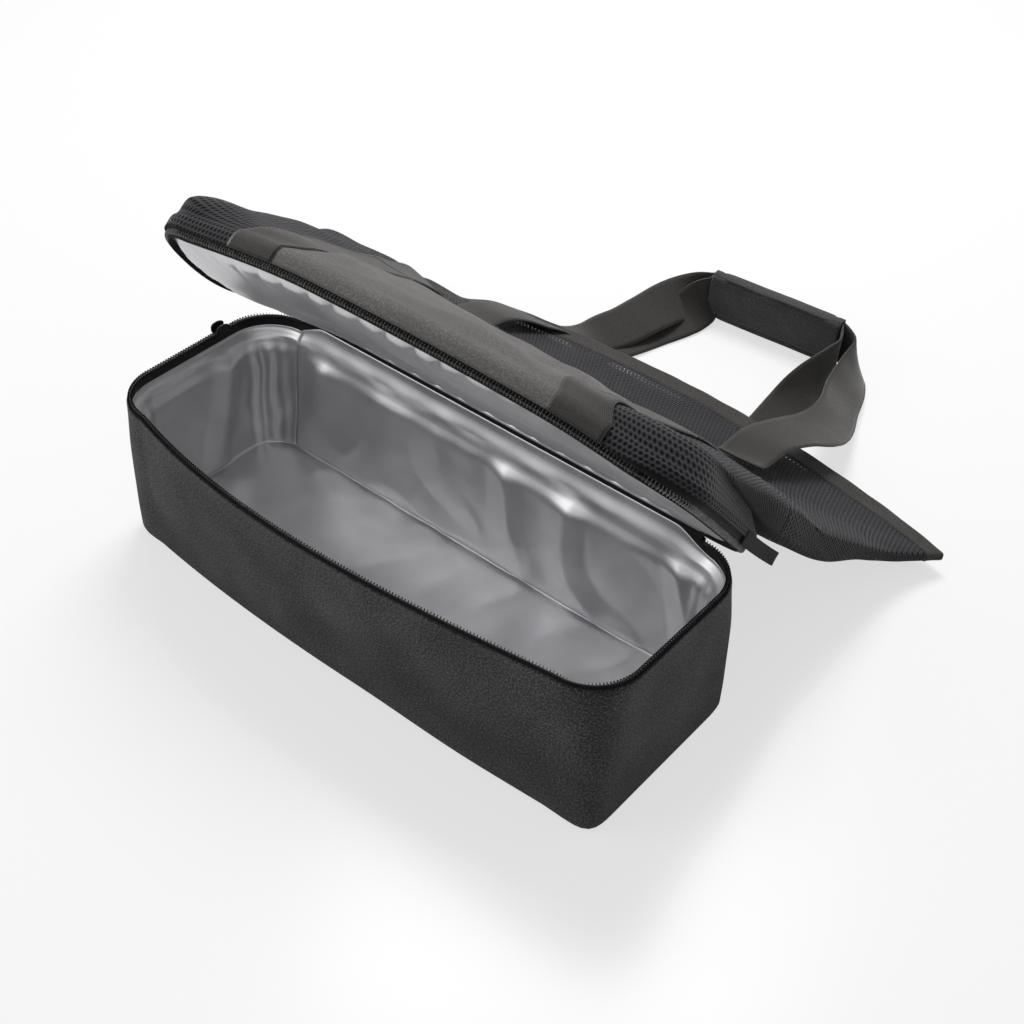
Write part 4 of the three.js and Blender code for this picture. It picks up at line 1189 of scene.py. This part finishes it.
def tote_point(distance, share, lift):
    """A point of the tote; a negative share, in millimetres, runs down over the lid's binding."""
    if share < 0:
        out = 1.7 * smooth(-share / 3)
        share *= 1 - 0.35 * smooth((outline(distance)[0] - 165) / 50)
        return lid_point(distance, MESH_WALL / 2 - lift - out, LID_TOP + RIM_GAP + share)
    point = curve_at(tote_thread(distance), share)
    rise = sum(up * math.exp(-((point.x - x) / wide) ** 2 - ((point.y - y) / deep) ** 2)
               for x, y, wide, deep, up in SAGS)
    point.z = max(point.z + rise * smooth(share / 0.05), min(point.z, 4.0))
    low, high = max(share - 0.004, 0), min(share + 0.004, 1)
    along = curve_at(tote_thread(distance), high) - curve_at(tote_thread(distance), low)
    across = curve_at(tote_thread(distance + 1), share) - curve_at(tote_thread(distance - 1), share)
    normal = across.cross(along).normalized()
    return point + normal * (lift + tote_wave(distance, share))


def crease_share(distance, lean=0.0):
    """Where the cloth crosses the crease, which is a plane across the bag."""
    low, high = 0.0, 0.7
    for _ in range(14):
        middle = (low + high) / 2
        if curve_at(tote_thread(distance + lean * middle), middle).y < CREASE_Y:
            low = middle
        else:
            high = middle
    return (low + high) / 2


CREASES = {}


def crease_at(distance, lean=0.0):
    key = (round(distance, 2), lean)
    if key not in CREASES:
        CREASES[key] = crease_share(distance, lean)
    return CREASES[key]


FOLD_COUNT = 44
FOLD_ROWS = [("down", d) for d in (-11.0, -9.0, -6.5, -4.0, -2.0)]
FOLD_ROWS += [("up", t) for t in even(0, 1, 1 / FOLD_COUNT)]


def tote_place(lift, top=None, lean=lambda s: 0.0):
    """Where a corner goes, for a piece below the crease, or above it when top is given."""
    def place(distance, row):
        slope = lean(distance)
        if row[0] == "down":
            return tote_point(distance, row[1], lift)
        crease_here = crease_at(distance, slope)
        share = row[1] * crease_here if row[0] == "up" else lerp(crease_here, top, row[1])
        return tote_point(distance + slope * share, share, lift)
    return place


def wall_rows(count):
    return [("wall", t) for t in even(0, 1, 1 / count)]


def on_fold(piece, *nodes):
    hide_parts(*nodes)
    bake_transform(piece)


def on_wall(piece, *nodes):
    if nodes:
        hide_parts(*nodes)
    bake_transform(piece)


# %% [markdown]
# ### The mesh walls
# The lower stretch follows the lid until the crease, and the upper one lies on the floor. A
# blend turns each smoothly between the two bodies that it joins, as cloth does.

# %% The mesh walls
TOTE_ROUND = round_stops(3.6)
mesh_fold = cloth("tote_mesh_low", TOTE_ROUND, FOLD_ROWS, tote_place(0.0), tote_mesh, 1.3, side=1.0,
                  closed=True)
on_fold(mesh_fold, "tote_left_fold", "tote_front_fold", "tote_right_fold", "tote_back_fold")
mesh_wall = cloth("tote_mesh_high", TOTE_ROUND, wall_rows(60), tote_place(0.0, HEM_START + 0.004),
                  tote_mesh, 1.3, side=1.0, closed=True)
on_wall(mesh_wall, "tote_left_mesh", "tote_front_mesh", "tote_right_mesh", "tote_back_mesh")

# %% [markdown]
# ### The hem
# The mouth is bound with a folded band of polyester. Its section is a flat loop: up the
# outside, over the rolled top edge and down the inside. Short slanted ripples show where the
# band was stretched while it was sewn.

# %% The hem
def hem_ripple(distance, share):
    wander = 2 * ripple((distance, 0, 0), 60)
    return 0.45 * math.sin(distance * 0.2 + share * 55 + wander) * (0.4 + 0.6 * ripple((distance, 5, 0), 80))


HEM_ROLL = 0.985
HEM_SECTION = [(HEM_START, -0.5), (HEM_START, 1.5)]
HEM_SECTION += [(t, 1.9) for t in even(HEM_START + 0.008, HEM_ROLL, 0.012)]
HEM_SECTION += [(0.995, 1.6), (1.0, 0.7), (0.995, -0.2)]
HEM_SECTION += [(t, -0.5) for t in even(HEM_ROLL, HEM_START, 0.03)]


def hem_place(distance, corner):
    share, lift = corner
    return tote_point(distance, share, lift + (hem_ripple(distance, share) if lift > 1 else 0))


hem = cloth("hem_band", TOTE_ROUND, HEM_SECTION, hem_place, hem_cloth, closed=True)
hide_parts("hem_front", "hem_back_left", "hem_back_middle", "hem_back_right")
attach(hem, "tote")


def tote_path(distances, share, lift):
    return [tote_point(s, share, lift) for s in distances]


def tote_out(distances, share):
    def out(k):
        return (tote_point(distances[k], share, 3) - tote_point(distances[k], share, 1)).normalized()
    return out


hem_seams = []
for share in (HEM_START + 0.012, HEM_ROLL):
    hem_seams += stitch_line(tote_path(ROUND, share, 1.95), tote_out(ROUND, share))
hem_stitches = repeat("hem_stitches", STITCH, hem_seams, thread_yarn)
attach(hem_stitches, "tote")

# %% [markdown]
# ### The pocket panel
# A panel of the heavy cloth lies on the front mesh between the two straps, from the zip up to
# the crease, and makes a flat pocket. It is a sheet, lifted off the mesh and a little slack.

# %% The pocket panel
WEBBING_WIDTH = 42.0
STRAP_LEAN = {"front_left": -12.0, "front_right": -39.0, "back_left": 0.0, "back_right": 0.0}
STRAP_X = {"front_left": -125.0, "front_right": 148.0, "back_left": -105.0, "back_right": 115.0}


def front_distance(x):
    return FRONT_START + x + FRONT / 2


def back_distance(x):
    return BACK_START + FRONT / 2 - x


PANEL_LEFT = front_distance(STRAP_X["front_left"] + WEBBING_WIDTH / 2 - 3)
PANEL_RIGHT = front_distance(STRAP_X["front_right"] - WEBBING_WIDTH / 2 + 3)


def panel_lean(distance):
    share = (distance - PANEL_LEFT) / (PANEL_RIGHT - PANEL_LEFT)
    return lerp(STRAP_LEAN["front_left"], STRAP_LEAN["front_right"], share)


def panel_place(distance, row):
    slack = 0.0
    if row[0] == "up":
        fold = ripple((distance * 0.4, row[1] * 150 + distance * 0.12, 4), 38)
        edge = min(distance - PANEL_LEFT, PANEL_RIGHT - distance)
        slack = 8.0 * math.sin(math.pi * row[1]) * smooth(edge / 16 - 0.1) * max(0.0, 0.35 + 0.85 * fold)
    return tote_place(2.0 + slack, lean=panel_lean)(distance, row)


# The panel's lighter colour is a painted sheen of grazing light on the same heavy cloth.
panel = cloth("pocket_panel", even(PANEL_LEFT, PANEL_RIGHT, 3.2), FOLD_ROWS, panel_place, panel_cloth_painted_sheen,
              0.9, side=1.0)
on_fold(panel, "front_pocket_panel")

panel_edge = [tote_place(3.1, lean=panel_lean)(PANEL_LEFT + 1.2, row) for row in FOLD_ROWS]


def tube(name, path, radius, material, count=8):
    """A round cord along a path of points."""
    line = curve_pieces(path)

    def place(angle, t):
        along = (curve_at(line, t + 0.002) - curve_at(line, t - 0.002)).normalized()
        side = along.cross(Vector((0, 0, 1))).normalized()
        return curve_at(line, t) + (side * math.cos(angle) + side.cross(along) * math.sin(angle)) * radius
    return cloth(name, even(0, 2 * math.pi, 2 * math.pi / count), even(0, 1, 0.01), place, material)


panel_cord = tube("pocket_edge_cord", panel_edge, 0.8, tape_cloth)
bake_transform(panel_cord)

# %% [markdown]
# ### The sewn straps
# Webbing runs over the lid's binding and the crease and up both walls. The four straps are
# sheets on the mesh, each in the same two stretches. Their edges are sewn down all along.

# %% The sewn straps
STRAP_TOP = {"front": 0.70, "back": HEM_START - 0.003}
STRAP_LIFT, STRAP_WALL, SEAM_LIFT, SEAM_INSET = 2.3, 1.4, 3.75, 2.6
STRAP_ROWS = wall_rows(36)

for name, x in STRAP_X.items():
    front = name.startswith("front")
    centre = front_distance(x) if front else back_distance(x)
    lean = lambda s, slope=STRAP_LEAN[name]: slope
    top = STRAP_TOP["front" if front else "back"]
    columns = even(centre - WEBBING_WIDTH / 2, centre + WEBBING_WIDTH / 2, 3.5)
    low = cloth("strap_" + name + "_low", columns, FOLD_ROWS, tote_place(STRAP_LIFT, lean=lean),
                webbing_cloth, STRAP_WALL, side=1.0)
    on_fold(low, "strap_" + name + "_fold")
    high = cloth("strap_" + name + "_high", columns, STRAP_ROWS, tote_place(STRAP_LIFT, top, lean),
                 webbing_cloth, STRAP_WALL, side=1.0)
    on_wall(high, "strap_" + name)
    seams_low, seams_high = [], []
    for edge in (columns[0] + SEAM_INSET, columns[-1] - SEAM_INSET):
        place = tote_place(SEAM_LIFT, top, lean)
        for rows, seams in ((FOLD_ROWS, seams_low), (STRAP_ROWS, seams_high)):
            path = [place(edge, row) for row in rows]
            outs = [(tote_place(5, top, lean)(edge, row) - at).normalized() for row, at in zip(rows, path)]
            seams += stitch_line(path, lambda k, outs=outs: outs[k])
    stitches_low = repeat("strap_" + name + "_stitches_low", STITCH, seams_low, thread_yarn)
    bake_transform(stitches_low)
    stitches_high = repeat("strap_" + name + "_stitches_high", STITCH, seams_high, thread_yarn)
    on_wall(stitches_high)

# %% [markdown]
# ## The handles
# Each loop is one ribbon of webbing. Its middle line runs through a list of points and a
# second list turns its width, so that it lies flat at the hem and stands on edge in the grip.
# The front loop starts on the wall, arches over the hem and comes back on the other side.

# %% The handles
def ribbon(name, stations, width, thick, rows, material, cup=0.5, count=10, wave=0.0):
    """A strip of cloth; stations are (middle, width direction) and cup lifts its two edges."""
    middle = curve_pieces([Vector(at) for at, wide in stations])
    wides = curve_pieces([Vector(wide) for at, wide in stations])

    def place(c, t):
        along = (curve_at(middle, t + 0.002) - curve_at(middle, t - 0.002)).normalized()
        across = curve_at(wides, t)
        across = (across - along * across.dot(along)).normalized()
        face = along.cross(across)
        sway = cup * (c * c - 0.4) + wave * ripple((t * 400, c * 25, len(name)), 30)
        return curve_at(middle, t) + across * (c * width / 2) + face * sway
    return cloth(name, even(-1, 1, 2 / count), even(0, 1, 1 / rows), place, material, thick, side=0.0)


GRIP_CENTRE, GRIP_TURN, GRIP_LENGTH, GRIP_MIDDLE = (10, 478.5), math.radians(4.5), 130.0, 23.5
GRIP_ALONG = Vector((math.cos(GRIP_TURN), math.sin(GRIP_TURN), 0))
GRIP_AWAY = Vector((-math.sin(GRIP_TURN), math.cos(GRIP_TURN), 0))


def grip_point(along, away, up=0.0):
    return Vector((*GRIP_CENTRE, GRIP_MIDDLE + up)) + GRIP_ALONG * along + GRIP_AWAY * away


def grip_run(away):
    reach = GRIP_LENGTH / 2
    stops = [-reach, -reach, -reach / 2, 0, reach / 2, reach, reach]
    return [(grip_point(along, away), (0, 0, -1)) for along in stops]


front_route = [
    ((-153.5, 236, 68.5), (1, -0.1, 0)), ((-155, 250, 64), (1, -0.1, 0)), ((-155.5, 274, 57), (1, 0, 0)),
    ((-151, 296, 46), (1, 0, 0)), ((-142, 317, 32), (1, 0, 0)), ((-129, 338, 17), (1, 0.15, 0)),
    ((-110, 358, 9.5), (1, 0.1, -0.05)), ((-94, 381, 13), (0.97, -0.05, -0.22)),
    ((-85, 407, 18), (0.95, -0.1, -0.3)),
    ((-77, 438, 21), (0.8, -0.15, -0.55)), ((-69, 461, 20), (0.55, -0.15, -0.8)),
    *grip_run(1.5),
    ((99, 474, 22.5), (0.3, 0.1, -0.95)), ((110, 447, 22), (0.65, 0.1, -0.78)),
    ((119, 415, 23.5), (0.78, 0.12, -0.65)),
    ((131, 384, 28.5), (0.8, 0.12, -0.6)), ((137, 358, 36.5), (0.87, 0.1, -0.45)),
    ((138, 332, 47), (0.93, 0.15, -0.3)), ((132, 303, 58.5), (0.95, 0.24, -0.15)),
    ((126, 272, 66), (0.95, 0.3, -0.05)),
    ((125, 244, 66.5), (1, 0.2, 0)), ((124.5, 236, 68.5), (1, 0.2, 0)),
]
front_loop = ribbon("handle_loop_front", front_route, WEBBING_WIDTH, 1.5, 190, webbing_cloth, wave=0.5)
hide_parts("handle_front", "strap_front_left_arch", "strap_front_right_arch")
back_route = [
    ((-103, 333, 5.6), (1, 0, 0)), ((-97, 345.8, 5.0), (1, 0, -0.05)), ((-86, 375, 4.5), (1, 0, -0.08)),
    ((-77, 405, 6), (0.98, 0, -0.18)),
    ((-65, 438, 9.6), (0.95, 0, -0.3)), ((-57, 459, 18.6), (0.6, 0, -0.8)),
    *grip_run(-1.5),
    ((84, 465, 22.8), (0, 0, -1)), ((87, 441, 22.2), (0.25, 0, -1)), ((86, 414, 18.5), (0.6, 0, -0.8)),
    ((85, 385, 9.5), (0.95, 0, -0.35)), ((86, 345.8, 5.0), (1, 0, -0.05)), ((86, 333, 5.6), (1, 0, 0)),
]
back_loop = ribbon("handle_loop_back", back_route, WEBBING_WIDTH, 1.5, 130, webbing_cloth, wave=0.5)
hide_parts("handle_back")
for piece in (front_loop, back_loop):
    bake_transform(piece)

# %% [markdown]
# ## The grip
# A rectangle of polyester is folded round both loops and closed with hook and loop tape. Its
# section is a rounded loop that is open at one side, and its cloth sags and crumples between
# the stiff webbing edges. A second piece is the flap that covers the opening.

# %% The grip
GRIP_REACH, GRIP_SEAM = GRIP_LENGTH / 2, 57


def grip_section():
    """(away, up) round the sleeve, from under the flap to the lip of the pocket."""
    flat = [(-4.4, 20.5), (-5.0, 22.2), (-3.6, 23.1), (0, 23.3), (3.6, 23.1), (5.0, 22.0)]
    face = [(5.3, z) for z in even(18, -18, 3)]
    under = [(5.0, -21.4), (3.6, -22.8), (0, -23.1), (-3.6, -22.8), (-5.0, -21.4)]
    lip = [(-5.2, z) for z in even(-18, -1, 3)]
    return flat + face + under + lip


def grip_crumple(along, up):
    hold = smooth((GRIP_REACH - abs(along)) / 14) * smooth((23.5 - abs(up)) / 10)
    return hold * (2.4 * ripple((along, up * 1.3, 0), 30) + 1.3 * crease((along + 60, up, 0), 28))


def grip_place(corner, along):
    away, up = corner
    swell = 1 + 0.3 * smooth((GRIP_REACH - abs(along)) / 20)
    groove = 1.2 * math.exp(-((abs(along) - GRIP_SEAM) / 1.8) ** 2) + 1.2 * math.exp(-((up - 4) / 1.8) ** 2)
    push = (grip_crumple(along, up) - groove) * (1 if away > 0 else -0.4)
    return grip_point(along, away * swell + push, up + 0.3 * ripple((along, away, 7), 30))


sleeve = cloth("grip_sleeve", grip_section(), even(-GRIP_REACH, GRIP_REACH, 1.55), grip_place, grip_cloth,
               1.2, flip=True)
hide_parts("handle_wrap")
grip_seams = []
for along in (-GRIP_SEAM, GRIP_SEAM):
    path = [grip_place(corner, along) for corner in grip_section()[5:20]]
    grip_seams += stitch_line(path, lambda k: GRIP_AWAY, 2.8)
long_seam = [grip_place((5.3, 4), a) for a in even(-GRIP_SEAM, GRIP_SEAM, 3)]
grip_seams += stitch_line(long_seam, lambda k: GRIP_AWAY, 2.8)
grip_stitches = repeat("grip_stitches", STITCH, grip_seams, thread_yarn)


STRIP_FOOT, STRIP_TOP, FLAP_TOP = -15.8, -0.3, 22.8


def strip(name, away):
    """One half of the closure, a flat strip at a distance behind the grip's middle."""
    def place(along, up):
        return grip_point(along, away + 0.25 * ripple((along, up, 1), 20), lerp(STRIP_FOOT, STRIP_TOP, up))
    return cloth(name, even(-55, 55, 5), even(0, 1, 0.25), place, tape_cloth, 0.6)


def flap_place(along, up):
    away = -8.3 - 0.5 * grip_crumple(along + 30, up) + 2.6 * smooth((up - 17) / 6)
    return grip_point(along, away, up)


hook = strip("grip_hook_tape", -5.8)
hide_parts("wrap_hook_strip")
loop = strip("grip_loop_tape", -6.9)
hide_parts("wrap_loop_strip")
flap = cloth("grip_flap", even(-GRIP_REACH, GRIP_REACH, 3.1), even(STRIP_FOOT, FLAP_TOP, 3.2), flap_place,
             grip_cloth, 1.2)
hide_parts("wrap_flap")
for piece in (sleeve, grip_stitches, hook):
    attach(piece, "handles")
for piece in (flap, loop):
    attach(piece, "flap")

# %% [markdown]
# ## The tail of the zip
# The zip runs past the lid's corner and ends in a folded tab, which someone holds while
# closing the bag. It is a short, thick ribbon that bends a little away from the lid.

# %% The tail of the zip
tail_route = [((231.6, 31, 138.4), (0, 0, 1)), ((231.8, 55, 138.4), (0, 0, 1)),
              ((233.0, 74, 138.8), (0, 0, 1)), ((235.6, 91, 139.6), (0, 0, 1))]
turned_route = [(opened(Vector(at)), LID_OPEN_TURN.to_3x3() @ Vector(wide)) for at, wide in tail_route]
tail = ribbon("zip_tail", turned_route, 10.0, 2.2, 30, tape_cloth, cup=0.2)
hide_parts("zip_tail_tab")
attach(tail, "lid")
